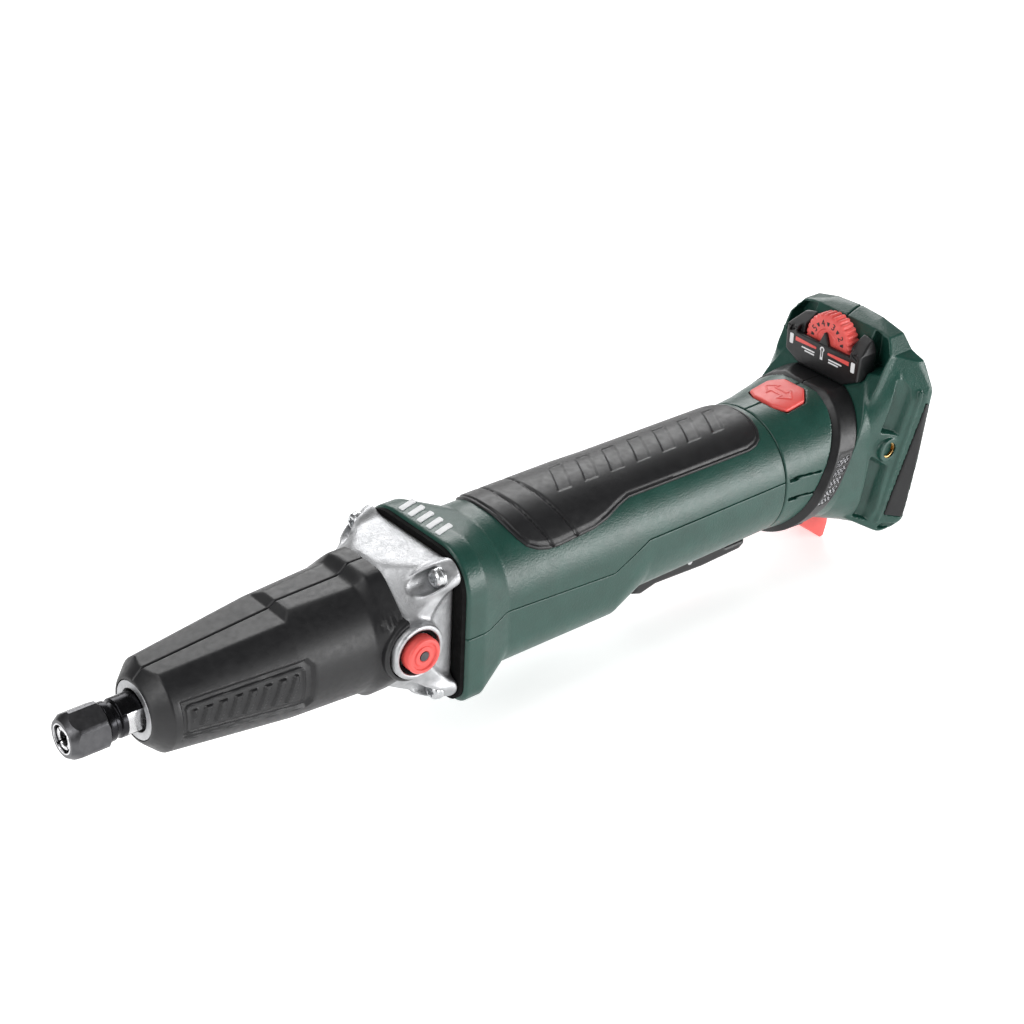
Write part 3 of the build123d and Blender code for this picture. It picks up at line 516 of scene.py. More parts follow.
# --- collet, nut and spindle -----------------------------------------------------------------------
def make_collet():
    """Four bright jaws around the bore."""
    profile = ((0.3, 3.0), (0.0, 3.25), (0.0, 4.55), (0.5, 5.0), (2.0, 6.4), (4.5, 6.4), (8.0, 5.2),
               (26.0, 4.6), (26.0, 3.0))
    collet = lathe("collet_jaws", profile, segments=72)
    for angle in (45, 135):
        turn = math.radians(angle)
        across, up = math.cos(turn), math.sin(turn)
        corners = ((-9, -0.4), (9, -0.4), (9, 0.4), (-9, 0.4))
        outline = [(a * across - b * up, a * up + b * across) for a, b in corners]
        combine(collet, prism("slot", outline, "x", -1.0, 17.0))
    return place(collet, "collet", "dark_steel", BRIGHT, "collet")


def make_collet_nut():
    """Clamping nut: a hexagon whose corners are turned round, with a wide front chamfer."""
    outer = [(1.9, 6.9), (0.4, 5.75), (-0.74, 5.75), (-0.74, 7.6), (2.9, 9.9), (14.4, 9.9), (15.2, 9.2),
             (15.2, 7.6)]
    radii = [0.2, 0.1, 0.25, 0.5, 0.6, 0.35, 0.3, 0.1]
    inner = [(5.4, 7.35), (5.4, 6.9)]
    profile = rounded_outline(outer + inner, radii + [0, 0], 3)
    nut = lathe("clamping_nut", profile, segments=120)
    corner = [math.radians(60 * i + 25) for i in range(6)]
    hexagon = [(10.35 * math.cos(a), 10.35 * math.sin(a)) for a in corner]
    keep = prism("hexagon", rounded_outline(hexagon, 0.6, 3), "x", -2.0, 17.0)
    combine(nut, keep, "INTERSECT")
    ring = lathe("bright_edge", ((-0.8, 5.7), (-0.8, 6.2), (-0.64, 6.35), (-0.2, 5.7)), segments=96)
    place(ring, "collet_nut", "bright_steel", BRIGHT)
    return place(nut, "collet_nut", "dark_steel", DARK_STEEL, "collet_nut", sharp=22.0)


def make_spindle():
    """Spindle with a black nose, a ring groove and milled bright flats."""
    profile = [(8.4, 5.35), (8.4, 7.25), (15.9, 7.25), (15.9, 8.0), (18.6, 8.0), (19.2, 6.9), (20.7, 6.9),
               (21.3, 8.0), (38.0, 8.0), (38.0, 6.0), (47.0, 6.0), (47.0, 7.0), (116.0, 7.0), (116.0, 6.0),
               (150.0, 6.0), (150.0, 0.4), (36.0, 0.4), (34.0, 3.2), (27.5, 3.2), (27.0, 5.35)]
    radii = [0, 0.3, 0, 0.5, 0.4, 0.35, 0.35, 0.4] + [0] * 12
    spindle = lathe("work_spindle", rounded_outline(profile, radii, 3), segments=96)
    flat_end, flat_depth = 31.5, 6.5
    for side in (-1, 1):
        y = sorted((side * flat_depth, side * 12.0))
        combine(spindle, block("flat", (23.4, flat_end), y, (-9.0, 9.0)))
    spindle.data.materials.clear()
    spindle.data.materials.append(BLACK_STEEL)
    spindle.data.materials.append(BRIGHT)
    for face in spindle.data.polygons:
        centre = face.center / MM
        milled = abs(abs(centre.y) - flat_depth) < 0.02 and centre.x > 23
        face.material_index = 1 if milled or centre.x > 40 else 0
    return place(spindle, "spindle", "bright_steel", BRIGHT, "spindle")


def make_retaining_ring():
    profile = [(30.0, 8.9), (30.0, 12.2), (34.2, 12.2), (34.2, 13.9), (38.0, 13.9), (38.0, 11.0),
               (35.0, 11.0), (35.0, 8.9)]
    ring = lathe("nose_ring", rounded_outline(profile, [0.25, 0.35, 0, 0, 0, 0, 0, 0], 3), segments=96)
    return place(ring, "housing", "bright_steel", CAST, "retaining_ring")


# --- nose ------------------------------------------------------------------------------------------
PANEL = ((39.5, -7.4), (93.0, -12.0), (95.6, -9.5), (95.6, 7.5), (93.0, 10.8), (39.5, 9.6))


def sleeve_radius(x, angle):
    """Polar radius of the rubber sleeve: a cone with a flat top, side panels and a wide rear flare."""
    base = np.interp(x, (30.0, 31.0, 36.4, 90.0, 124.0), (13.3, 14.4, 19.4, 25.5, 27.2))
    up = np.sin(angle)
    land = np.interp(x, (28.0, 91.0, 94.8, 128.0), (17.0, 22.3, 24.5, 25.2))
    top = np.where(up > 0.3, land / np.maximum(up, 0.3), 60.0)
    radius = -np.logaddexp(-base * 6, -top * 6) / 6
    eighth = math.pi / 4
    octagon = 28.7 / np.cos((angle + eighth / 2) % eighth - eighth / 2)
    octagon = -np.logaddexp(-octagon * 2, -30.3 * 2) / 2 + 0.25
    flare = np.clip((x - 123.5) / 6.5, 0, 1)
    flare = flare * flare * (3 - 2 * flare)
    return radius + (octagon - radius) * flare


def panel_relief(x, height):
    """Sunk panel on each side of the sleeve, with slanted raised ribs in it."""
    outline = [(px, pz) for px, pz in PANEL]
    sunk = np.clip(-polygon(outline, x, height) / 1.2 + 0.15, 0, 1)
    relief = -1.5 * sunk * sunk * (3 - 2 * sunk)
    inner = ((44.0, -3.6), (89.5, -7.6), (89.5, 6.0), (44.0, 5.2))
    frame_line = np.abs(polygon(inner, x, height) - 1.8) - 0.3
    relief += 0.45 * np.clip(-frame_line / 0.4 + 0.6, 0, 1)
    lean = x - 0.35 * height
    stripe = np.abs((lean - 46.5) % 6.2 - 3.1) - 1.35
    inside = polygon(inner, x, height) + 0.6
    rib = np.maximum(stripe, inside)
    relief += 0.95 * np.clip(-rib / 0.5 + 0.5, 0, 1)
    return relief


def make_sleeve():
    """Rubber hand guard with its top seam, side panels, flare and the lobe around the lock boss."""
    columns = 400
    angle = np.linspace(0, 2 * math.pi, columns, endpoint=False)[None, :]
    front = [30.0, 30.15, 30.5, 31.0, 31.5, 32.2]
    main = np.concatenate([np.linspace(33.0, 96.0, 127), np.linspace(97.0, 122.0, 22)])
    flare = np.linspace(123.0, SLEEVE_REAR - 0.8, 20)
    rim = SLEEVE_REAR - 0.8 * (1 - np.sin(np.linspace(0.2, math.pi / 2, 5)))
    x = np.concatenate([front, main, flare, rim])[:, None]
    radius = sleeve_radius(x, angle)
    height = radius * np.sin(angle)
    side = np.cos(angle)
    on_side = np.clip((np.abs(side) - 0.55) / 0.1, 0, 1)
    radius = radius + panel_relief(x, height) * on_side * (x < 98)
    seam = np.abs(radius * np.cos(angle)) + 20 * (np.sin(angle) < 0)
    radius = radius - 0.5 * np.exp(-((seam / 0.34) ** 2))
    ridges = np.exp(-(((angle - math.radians(152)) / 0.09) ** 2))
    ridges = ridges + np.exp(-(((angle - math.radians(28)) / 0.09) ** 2))
    radius = radius + 0.3 * ridges * np.cos((x - 126) * 2.6) * (x > 126.5) * (x < 135.5)
    radius = radius - edge_round(SLEEVE_REAR - x, 0.8)
    radius = radius - edge_round(x - SLEEVE_FRONT, 0.5)
    outer = np.stack(np.broadcast_arrays(x, radius * np.cos(angle), radius * np.sin(angle)), -1)
    inner_x = np.array([SLEEVE_REAR, 130.0, 129.5, 90.0, 34.0, 33.8, SLEEVE_FRONT])[:, None]
    inner_r = np.array([27.8, 26.4, 22.3, 19.9, 16.3, 12.6, 12.5])[:, None]
    inner = np.stack(np.broadcast_arrays(inner_x, inner_r * np.cos(angle), inner_r * np.sin(angle)), -1)
    grid = np.concatenate([outer, inner])
    sleeve = mesh_from("nose_sleeve_rubber", grid.reshape(-1, 3), grid_faces(len(grid), columns, True, True))
    lobe = lathe(
        "lobe",
        rounded_outline(
            [(-18.0, 0.5), (-18.0, 14.4), (-29.8, 14.4), (-30.8, 13.6), (-30.8, 0.5)], [0, 0, 0.8, 0.8, 0], 4
        ),
        "y", (BUTTON_X, 0.0), 96,
    )
    combine(lobe, block("rear", (BUTTON_X + 3.5, 180.0), (-60, 60), (-60, 60)))
    combine(lobe, block("upper", (BUTTON_X - 3.0, 180.0), (-60, 60), (1.0, 60)))
    combine(sleeve, lobe, "UNION")
    combine(sleeve, rod("boss_hole", "y", (BUTTON_X, 0.0), 12.8, -50.0, -18.0, 96))
    return place(sleeve, "housing", "black_rubber", RUBBER, "nose_sleeve", sharp=32.0)


def make_casting():
    """Cast flange with flat sides, slanted corners, screw scoops and lock boss, on a turned neck."""
    field = Field((127.0, -36.0, -36.0), (FLANGE_REAR + 1.5, 36.0, 36.0), 0.45)
    x, y, z = field.x, field.y, field.z
    reach = np.hypot(y, z)
    half = np.interp(x, (130.0, 139.0, 161.0), (23.0, 28.6, 30.8))
    square = meet(np.abs(y) - half, np.abs(z) - half, 1.5)
    slanted = 0.83 * (reach - np.interp(x, (126.0, 138.0, 152.0, 161.0), (21.5, 28.8, 37.4, 41.0)))
    shape = meet(square, slanted, 1.6)
    corners = [(sy, sz) for sy in (-SCREW_OFFSET, SCREW_OFFSET) for sz in (-SCREW_OFFSET, SCREW_OFFSET)]
    for sy, sz in corners:
        lug = meet(disc(y, z, (sy, sz), 5.7), slab(x, 146.0, FLANGE_REAR), 1.0)
        lug = meet(lug, slanted - 1.5, 1.5)
        shape = join(shape, lug, 3.0)
    # the left and right sides are drawn in between the corners, behind the boss
    hollow = meet(disc(x, z, (172.0, 0.0), 25.0), 27.6 - np.abs(y), 3.0)
    shape = cut(shape, hollow, 2.5)
    boss = meet(disc(x, z, (BUTTON_X, 0.0), 12.3), slab(y, -33.6, -16.0), 2.0)
    shape = join(shape, boss, 2.4)
    shape = meet(shape, slab(x, 128.0, FLANGE_REAR), 1.0)
    for sy, sz in corners:
        lean = 0.14 * (155.0 - x)
        away = disc(y + math.copysign(1, sy) * lean, z + math.copysign(1, sz) * lean, (sy, sz), 4.7)
        shape = cut(shape, meet(away, slab(x, 142.0, 155.0), 2.0), 0.7)
        shape = cut(shape, disc(y, z, (sy, sz), 2.1))
    shape = cut(shape, meet(disc(x, z, (BUTTON_X, 0.0), 9.9), slab(y, -50.0, -28.0)), 0.7)
    shape = cut(shape, meet(disc(x, z, (BUTTON_X, 0.0), 2.3), slab(y, -50.0, -18.0)))
    shape = cut(shape, meet(disc(y, z, (0, 0), 14.0), slab(x, 100.0, 131.0)))
    shape = cut(shape, meet(disc(y, z, (0, 0), 24.0), slab(x, 130.0, 170.0)))
    casting = field.mesh("nose_casting", shape)
    neck = [(34.0, 14.1), (34.0, 16.1), (129.6, 22.2), (129.6, 14.1), (116.0, 14.1), (116.0, 10.0),
            (46.0, 10.0), (46.0, 14.1)]
    combine(casting, lathe("neck", neck, segments=128), "UNION")
    return place(casting, "housing", "cast_aluminium", CAST, "nose_housing", sharp=60.0)


def make_nose_screws():
    """Pan-head screws with six-lobed sockets."""
    lobes = []
    for i in range(72):
        angle = 2 * math.pi * i / 72
        reach = 2.0 + 0.38 * math.cos(6 * angle)
        lobes.append((reach * math.cos(angle), reach * math.sin(angle)))
    number = 0
    for sy in (-SCREW_OFFSET, SCREW_OFFSET):
        for sz in (-SCREW_OFFSET, SCREW_OFFSET):
            number += 1
            profile = [(151.0, 0.3), (151.0, 2.9), (151.9, 3.8), (153.6, 4.0), (153.6, 4.25), (155.0, 4.25),
                       (155.0, 2.0), (170.4, 2.0), (171.0, 1.4), (171.0, 0.3)]
            radii = [0, 0.6, 0.5, 0.1, 0.15, 0.2, 0, 0.1, 0.1, 0]
            screw = lathe(f"nose_screw_{number}", rounded_outline(profile, radii, 3), "x", (sy, sz), 48)
            socket = prism("socket", [(sy + a, sz + b) for a, b in lobes], "x", 150.0, 152.8)
            combine(screw, socket)
            place(screw, "housing", "zinc_screw", ZINC, "nose_screws", sharp=35.0)


def make_lock_button():
    """Round red button with a ring groove around a raised hub and a small hole."""
    face = BUTTON_FACE
    profile = [(face + 5.3, 7.9), (face + 0.9, 7.9), (face + 0.05, 7.3), (face, 6.1), (face + 0.9, 5.7),
               (face + 0.9, 4.6), (face + 0.35, 4.2), (face + 0.3, 2.6), (face + 0.8, 2.15),
               (face + 5.0, 2.1), (face + 5.0, 7.4), (face + 5.3, 7.5)]
    radii = [0, 0.3, 0.8, 0.35, 0.3, 0.3, 0.35, 0.3, 0.3, 0, 0, 0]
    button = lathe("lock_button_cap", rounded_outline(profile, radii, 4), "y", (BUTTON_X, 0.0), 120)
    place(button, "lock_button", "red_plastic", RED, "spindle_lock_button", sharp=45.0)
    # Near-black ring in the gap between the button and its well: painted shade for the shadowed gap.
    gap_shade_profile = [(-32.2, 8.3), (-32.2, 9.85), (-28.1, 9.85), (-28.1, 8.3)]
    gap_shade_ring = lathe("lock_button_gap_shade", rounded_outline(gap_shade_profile, 0.4, 3), "y", (BUTTON_X, 0.0), 96)
    place(gap_shade_ring, "housing", "black_rubber", GAP_SHADE_BLACK)


# --- body ------------------------------------------------------------------------------------------
def parting_angle(x):
    """Angle from +Y at which the parting edge meets the body's side."""
    places, levels = zip(*PARTING)
    half = np.interp(x, [station[0] for station in BODY_STATIONS], [station[1] for station in BODY_STATIONS])
    return np.arctan2(np.interp(x, places, levels), half)


def shell_rows():
    """Places along X of the body's rows, close together at its rounded ends."""
    front = BODY_FRONT + np.array(edge_steps(1.9, 6))
    rear = BODY_REAR - np.array(edge_steps(0.5, 4))[::-1]
    middle = np.linspace(front[-1] + 0.8, rear[0] - 0.8, 196)
    return np.concatenate([front, middle, rear])


def body_outer(x, angle):
    radius = skin_radius(BODY_STATIONS, x, angle, 0.5)
    radius = radius - edge_round(x - BODY_FRONT, 1.9)
    return radius - edge_round(BODY_REAR - x, 0.5)


def make_shell(name, start, end, columns):
    """One body shell between two angles, with rounded edges along its parting lines."""
    x = shell_rows()[:, None]
    first, last = start(x), end(x)
    radius = 31.0
    lip, gap = 0.55, 0.10
    steps = (np.array(edge_steps(lip, 4)) + gap) / radius
    inner_part = np.linspace(0, 1, columns)[None, :]
    middle = (first + steps[-1] + 0.01) + inner_part * (last - first - 2 * steps[-1] - 0.02)
    angle = np.concatenate([first + steps[None, :], middle, last - steps[None, ::-1]], axis=1)
    outer = body_outer(x, angle)
    near = np.minimum(angle - first, last - angle) * radius - gap
    outer = outer - edge_round(near, lip)
    inner = skin_radius(BODY_STATIONS, x, angle, 0.5) - 2.7
    ring_angle = np.concatenate([angle, angle[:, ::-1]], axis=1)
    ring_radius = np.concatenate([outer, inner[:, ::-1]], axis=1)
    grid = np.stack(
        [np.broadcast_to(x, ring_angle.shape), ring_radius * np.cos(ring_angle),
         ring_radius * np.sin(ring_angle)], -1
    )
    rows, count = ring_angle.shape
    faces = grid_faces(rows, count, False, True)
    half = count // 2
    for row in (0, rows - 1):
        base = row * count
        last_one = base + count - 1
        faces += [[base + i, base + i + 1, last_one - 1 - i, last_one - i] for i in range(half - 1)]
    return mesh_from(name, grid.reshape(-1, 3), faces)


def make_body():
    upper = make_shell("body_shell_upper", parting_angle, lambda x: math.pi - parting_angle(x), 96)
    place(upper, "housing", "green_plastic", GREEN, "main_housing_upper", sharp=34.0)
    lower = make_shell("body_shell_lower", lambda x: math.pi - parting_angle(x),
                       lambda x: 2 * math.pi + parting_angle(x), 96)
    half, front, rear = 11.6, PADDLE_LOW[0] - 2.0, PADDLE_HIGH[0] + 0.8
    opening = rounded_outline(((front, -half), (rear, -half), (rear, half), (front, half)), 2.0, 4)
    combine(lower, prism("paddle_opening", opening, "z", -50.0, -15.0))
    place(lower, "housing", "green_plastic", GREEN, "main_housing_lower", sharp=34.0)


def make_collar_marks():
    """Plain slanted raised bars across the top of the collar."""
    high = cad_box("collar_badge")[1]
    for number in range(5):
        y = 12.0 - 6.0 * number
        outline = ((165.5, y), (174.5, y + 2.5), (174.5, y + 5.3), (165.5, y + 2.8))
        bar = prism(f"collar_mark_{number + 1}", rounded_outline(outline, 0.5, 3), "z", 34.2, high[2])
        bevelled(bar, 0.15, 2)
        place(bar, "housing", "white_print", WHITE, "collar_badge")


# --- grip pad --------------------------------------------------------------------------------------
PAD_EDGE_X = (196.4, 196.8, 197.4, 198.4, 199.8, 202.5, 207.0, 212.0, 218.0, 238.0, 246.0, 254.0, 261.0,
              333.0, 338.0, 341.5, 344.0, 345.5, 346.0)
PAD_EDGE_UP = (86.0, 77.0, 68.0, 58.5, 51.0, 43.0, 37.8, 35.2, 34.4, 36.6, 40.0, 45.5, 49.0, 48.0, 50.0,
               54.0, 62.0, 74.0, 86.0)
PAD_PROUD = 1.4


def pad_marks(x, arc):
    """Depth of plain slanted bars sunk into the pad, over most of its length."""
    lean = x + 0.55 * arc
    bar = np.abs((lean - 232.0) % 15.0 - 7.5) - 3.6
    window = np.maximum(slab(lean, 236.0, 332.0), np.abs(arc) - 8.5)
    short = np.maximum(bar, window)
    return 0.55 * np.clip(-short / 0.7 + 0.5, 0, 1)


def make_grip_pad():
    """Soft pad along the top with a lip along its edge, two cross grooves and sunk bars."""
    ends = np.concatenate([np.linspace(196.4, 203.0, 26), np.linspace(203.5, 338.0, 250),
                           np.linspace(338.4, 346.0, 26)])
    x = ends[:, None]
    rise = np.radians(90.0 - np.interp(x, PAD_EDGE_X, PAD_EDGE_UP))
    share = np.concatenate([[0, 0.004, 0.012, 0.022, 0.035, 0.05], np.linspace(0.065, 0.935, 108),
                            [0.95, 0.965, 0.978, 0.988, 0.996, 1]])
    angle = math.pi / 2 + rise * (1 - 2 * share[None, :])
    base = skin_radius(BODY_STATIONS, x, angle, 0.5)
    arc = 31.0 * (angle - math.pi / 2)
    outline = [(px, 31.0 * math.radians(90 - up)) for px, up in zip(PAD_EDGE_X, PAD_EDGE_UP)]
    outline += [(px, -arc_) for px, arc_ in reversed(outline)]
    away = np.maximum(-polygon(outline, x, arc), 0)
    lip = 0.95 - edge_round(away, 0.9)
    swell = np.clip((away - 1.7) / 1.1, 0, 1)
    height = lip - 0.3 * np.exp(-(((away - 1.75) / 0.35) ** 2))
    height = height + (PAD_PROUD - 0.95) * swell * swell * (3 - 2 * swell)
    for centre in (208.4, 222.0):
        bend = centre + 4.2 * (arc / 24.0) ** 2
        height = height - 0.75 * np.exp(-(((x - bend) / 0.65) ** 2)) * (away > 0.6)
    height = height - pad_marks(x, arc) * (away > 2)
    top = base + np.maximum(height, 0.02)
    rows, half = top.shape
    ring_angle = np.concatenate([angle, angle[:, ::-1]], axis=1)
    ring_radius = np.concatenate([top, base[:, ::-1] - 0.25], axis=1)
    grid = np.stack(
        [np.broadcast_to(x, ring_angle.shape), ring_radius * np.cos(ring_angle),
         ring_radius * np.sin(ring_angle)], -1
    )
    faces = grid_faces(rows, 2 * half, False, True)
    for row in (0, rows - 1):
        base_index = row * 2 * half
        faces += [[base_index + i, base_index + i + 1, base_index + 2 * half - 2 - i,
                   base_index + 2 * half - 1 - i]
                  for i in range(half - 1)]
    pad = mesh_from("grip_pad_rubber", grid.reshape(-1, 3), faces)
    return place(pad, "housing", "black_rubber", RUBBER, "grip_pad", sharp=50.0)


# --- paddle ----------------------------------------------------------------------------------------
def make_paddle():
    """Trough-shaped paddle with a rounded edge and a slot for the lock lever."""
    front, rear = PADDLE_LOW[0], PADDLE_HIGH[0]
    field = Field((front - 2, -13.0, -41.0), (rear + 2, 13.0, -19.5), 0.42)
    x, y, z = field.x, field.y, field.z
    side = ((front + 0.4, -30.0), (front + 0.2, -36.6), (front + 5.0, -38.2), (front + 14.0, -36.1),
            (front + 43.0, -37.3), (rear - 3.0, -36.4), (rear, -34.2), (rear, -31.8), (334.6, -31.8),
            (333.6, -27.4), (292.0, -27.0), (289.0, -21.9), (283.5, -21.9))
    shape = meet(polygon(side, x, z), slab(y, -11.0, 11.0), 2.6)
    shape = cut(shape, meet(meet(slab(x, 291.0, 337.0), slab(y, -9.0, 9.0)), slab(z, -33.6, 0.0)), 0.8)
    shape = cut(shape, disc(x, z, (286.0, -25.0), 2.0))
    shape = cut(shape, meet(slab(x, 304.0, 321.0), slab(y, -4.5, 4.5)), 0.8)
    shape = cut(shape, disc(x, z, (LEVER_X, LEVER_Z), 1.5))
    paddle = field.mesh("paddle_switch", shape)
    return place(paddle, "paddle", "black_plastic", BLACK, "paddle", sharp=60.0)


def make_lock_lever():
    x, z = LEVER_X, LEVER_Z
    outline = ((x - 5.0, z - 5.4), (x - 0.5, z - 7.4), (x + 4.0, z - 5.0), (x + 3.6, z + 2.6),
               (x - 3.0, z + 2.6))
    lever = prism("lock_lever", rounded_outline(outline, 0.9, 4), "y", -4.0, 4.0)
    bevelled(lever, 0.5, 3)
    combine(lever, rod("pin_hole", "y", (x, z), 1.5, -6.0, 6.0, 32))
    return place(lever, "lock_lever", "red_plastic", RED, "paddle_lock_lever")


# --- foot ------------------------------------------------------------------------------------------
FLARE_START, FLARE_HALF, FLARE_SLOPE = 405.0, 34.0, 10.9 / 16.5
UPPER_POCKET = ((410.2, 42.4), (414.6, 40.4), (416.2, 36.5), (412.2, 13.6), (404.2, 16.6))
LOWER_POCKET = ((401.0, 3.4), (409.0, -2.0), (404.7, -31.2), (398.2, -28.6))


def foot_halves():
    """The two foot shells from one field, parted on the centre plane."""
    field = Field((FOOT_FRONT - 1.0, -46.5, -39.0), (426.5, 0.7, 64.5), 0.5)
    x, y, z = field.x, field.y, field.z
    near = -y
    end = ((60.0, -37.5), (-37.0, -37.5), (-44.5, -29.0), (-44.9, 36.0), (-38.1, 48.8), (-31.0, 51.5),
           (-26.2, 58.4), (-14.0, 61.6), (0.0, 62.7), (60.0, 62.7))
    side = ((409.0, -37.5), (418.0, -37.5), (425.0, 34.0), (424.4, 46.0), (421.0, 63.0), (412.0, 59.6),
            (405.7, 46.5), (400.0, 34.0), (395.8, 14.3), (395.8, -30.0))
    plan = ((396.0, 60.0), (396.0, -28.0), (FLARE_START, -FLARE_HALF), (421.5, -44.9), (430.0, -44.9),
            (430.0, 60.0))
    # depth below the flared side wall, whose top leans inwards above a level
    sunk = (near - FLARE_HALF - FLARE_SLOPE * (x - FLARE_START)) * 0.835
    envelope = meet(meet(polygon(end, y, z), polygon(side, x, z), 1.2), polygon(plan, x, y), 1.0)
    envelope = cut(envelope, meet(32.0 * 0.3 - 0.3 * z - sunk, 31.2 - near, 0.8), 0.6)
    neck = meet(skin_field(field, REAR_STATIONS), slab(x, FOOT_FRONT, 412.0), 0.8)
    ring_seat = meet(slab(x - FILTER_LEAN * z, 370.0, 384.2), -skin_field(field, RING_STATIONS, -0.9))
    neck = cut(neck, ring_seat, 0.2)
    shape = join(envelope, neck, 1.0)
    for pocket in (UPPER_POCKET, LOWER_POCKET):
        outline = polygon(pocket, x, z)
        shape = cut(shape, meet(outline + 0.35 * np.minimum(-sunk, 3.0), -2.6 - sunk, 0.4), 0.45)
    rib = meet(meet(slab(x - 0.16 * z, 412.3, 413.7), slab(z, -32.0, 36.0), 0.6),
               meet(sunk - 0.6, -2.0 - sunk))
    shape = join(shape, rib, 0.5)
    boss = meet(disc(x, z, (INSERT_X, INSERT_Z), 5.8), slab(near, 25.0, 38.1), 0.6)
    shape = join(shape, boss, 0.8)
    shape = cut(shape, meet(disc(x, z, (INSERT_X, INSERT_Z), 3.6), slab(near, 36.0, 60.0)), 0.4)
    shape = cut(shape, meet(disc(x, z, (INSERT_X, INSERT_Z), 4.65), slab(near, 36.0, 37.5)))
    # battery bay with its undercut rails, open below and behind
    bay = meet(slab(x, 409.0, 440.0), meet(slab(y, -27.0, 27.0), slab(z, -80.0, 40.0)))
    groove = meet(slab(x, 409.0, 414.0), meet(slab(y, -32.0, 32.0), slab(z, -80.0, 40.0)))
    shape = cut(shape, join(bay, groove), 0.8)
    # hollow neck and inside
    shape = cut(shape, meet(disc(y, z, (0, 0), 25.9), slab(x, 330.0, 380.0)))
    shape = cut(shape, meet(disc(y, z, (0, 0), 27.8), slab(x, 353.6, 358.4)))
    shape = cut(shape, meet(slab(x, 379.0, 405.0), meet(slab(y, -22.0, 22.0), slab(z, -20.0, 24.0), 2.0)))
    # hood: dial box seat with a dark pocket beside it
    seat = meet(polygon(bezel_outline(0.35), y, z), slab(x, 380.0, BEZEL_HIGH[0] + 0.3))
    shape = cut(shape, seat, 0.6)
    pocket = ((-18.0, 40.5), (-29.4, 43.0), (-30.2, 51.2), (-26.0, 57.2), (-18.0, 58.8))
    shape = cut(shape, meet(polygon(pocket, y, z), slab(x, 380.0, 416.5), 0.4), 0.5)
    shape = cut(shape, meet(disc(y, z, (0, DIAL_Z), DIAL_RADIUS + 1.2), slab(x, 399.0, BEZEL_HIGH[0] + 0.3)))
    shape = cut(shape, meet(disc(y, z, (0, DIAL_Z), 6.3), slab(x, 405.0, 417.5)))
    # release button seat and latch slot
    shape = cut(shape, meet(polygon(button_outline(0.45), x, y), slab(z, 25.0, 60.0)), 0.5)
    shape = cut(shape, meet(slab(x, 376.4, 407.0), meet(slab(y, -8.4, 8.4), slab(z, -60.0, -27.8))), 0.4)
    # raised line around the hood's rear rim
    rim = polygon(end, y, z)
    rim_line = meet(slab(rim, -2.4, -1.2), slab(x, 421.0, 424.5))
    shape = cut(shape, meet(rim_line, slab(z, 40.0, 80.0)), 0.4)
    # bumper seat and the dark slot in the bottom corner
    strip = polygon(BUMPER, x, z)
    shape = cut(shape, join(meet(strip, -2.3 - sunk), meet(strip, 42.5 - near)), 0.2)
    notch = ((408.5, -35.4), (416.0, -36.4), (416.6, -33.4), (410.5, -32.6))
    shape = cut(shape, meet(polygon(notch, x, z), -3.0 - sunk), 0.5)
    for slot in NECK_SLOTS:
        shape = cut(shape, meet(polygon(slot, x, z), slab(near, 27.6, 40.0)), 0.2)
    # cut at the centre plane into the left half, mirrored for the right; the filter ring's shallow step is
    # cut above, at the neck
    left = meet(shape, y + 0.06, 0.5)
    left_piece = field.mesh("foot_shell_left_body", left)
    mirror = left_piece.data.copy()
    points = np.zeros(len(mirror.vertices) * 3)
    mirror.vertices.foreach_get("co", points)
    points[1::3] *= -1
    mirror.vertices.foreach_set("co", points)
    mirror.flip_normals()
    right_piece = add_object("foot_shell_right_body", mirror)
    place(left_piece, "foot", "green_plastic", GREEN, "foot_shell_left", sharp=60.0)
    place(right_piece, "foot", "green_plastic", GREEN, "foot_shell_right", sharp=60.0)


BUMPER = ((410.6, -28.2), (418.2, -29.6), (423.6, 28.6), (421.4, 30.0))
NECK_SLOTS = (
    ((351.8, 7.0), (371.0, 5.5), (371.0, 4.7), (357.4, 5.7), (357.2, 4.6), (351.8, 5.0)),
    ((351.8, -2.8), (371.0, -4.8), (371.0, -5.6), (357.4, -4.2), (357.2, -5.2), (351.8, -4.8)),
)


def button_outline(grow=0.0):
    """The swivel release button seen from above."""
    half = ((361.0, 5.5), (364.6, 11.9), (375.4, 11.9), (381.2, 6.0))
    near = [(x, -y) for x, y in half]
    outline = near + [(x, y) for x, y in reversed(half)]
    centre = 370.8
    grown = [(centre + (x - centre) * (1 + grow / 10), y * (1 + grow / 10.6)) for x, y in outline]
    return rounded_outline(grown, 1.4, 3)


def bezel_outline(grow=0.0):
    """The dial surround seen from the front."""
    half = ((13.5, 33.5 - grow), (22.5 + grow, 38.2), (22.9 + grow, 51.0), (20.4 + grow, 55.6),
            (16.0, 56.7 + grow))
    return [(-y, z) for y, z in half] + [(y, z) for y, z in reversed(half)]


def make_bumpers():
    """Rubber strips set into the foot's sides."""
    for sign, side in ((-1, "left"), (1, "right")):
        field = Field((406.5, 33.0, -32.0), (426.0, 46.5, 32.0), 0.45)
        x, near, z = field.x, field.y, field.z
        sunk = (near - FLARE_HALF - FLARE_SLOPE * (x - FLARE_START)) * 0.835
        outer = meet(sunk - 0.35, near - 44.85, 0.6)
        shape = meet(polygon(rounded_outline(BUMPER, 0.6, 3), x, z) + 0.15, outer, 0.4)
        shape = meet(shape, -2.2 - sunk, 0.3)
        strip = field.mesh(f"bumper_strip_{side}", shape)
        if sign < 0:
            strip.data.transform(Matrix.Scale(-1, 4, (0, 1, 0)))
            strip.data.flip_normals()
        place(strip, "foot", "black_rubber", RUBBER, f"bumper_{side}", sharp=50.0)


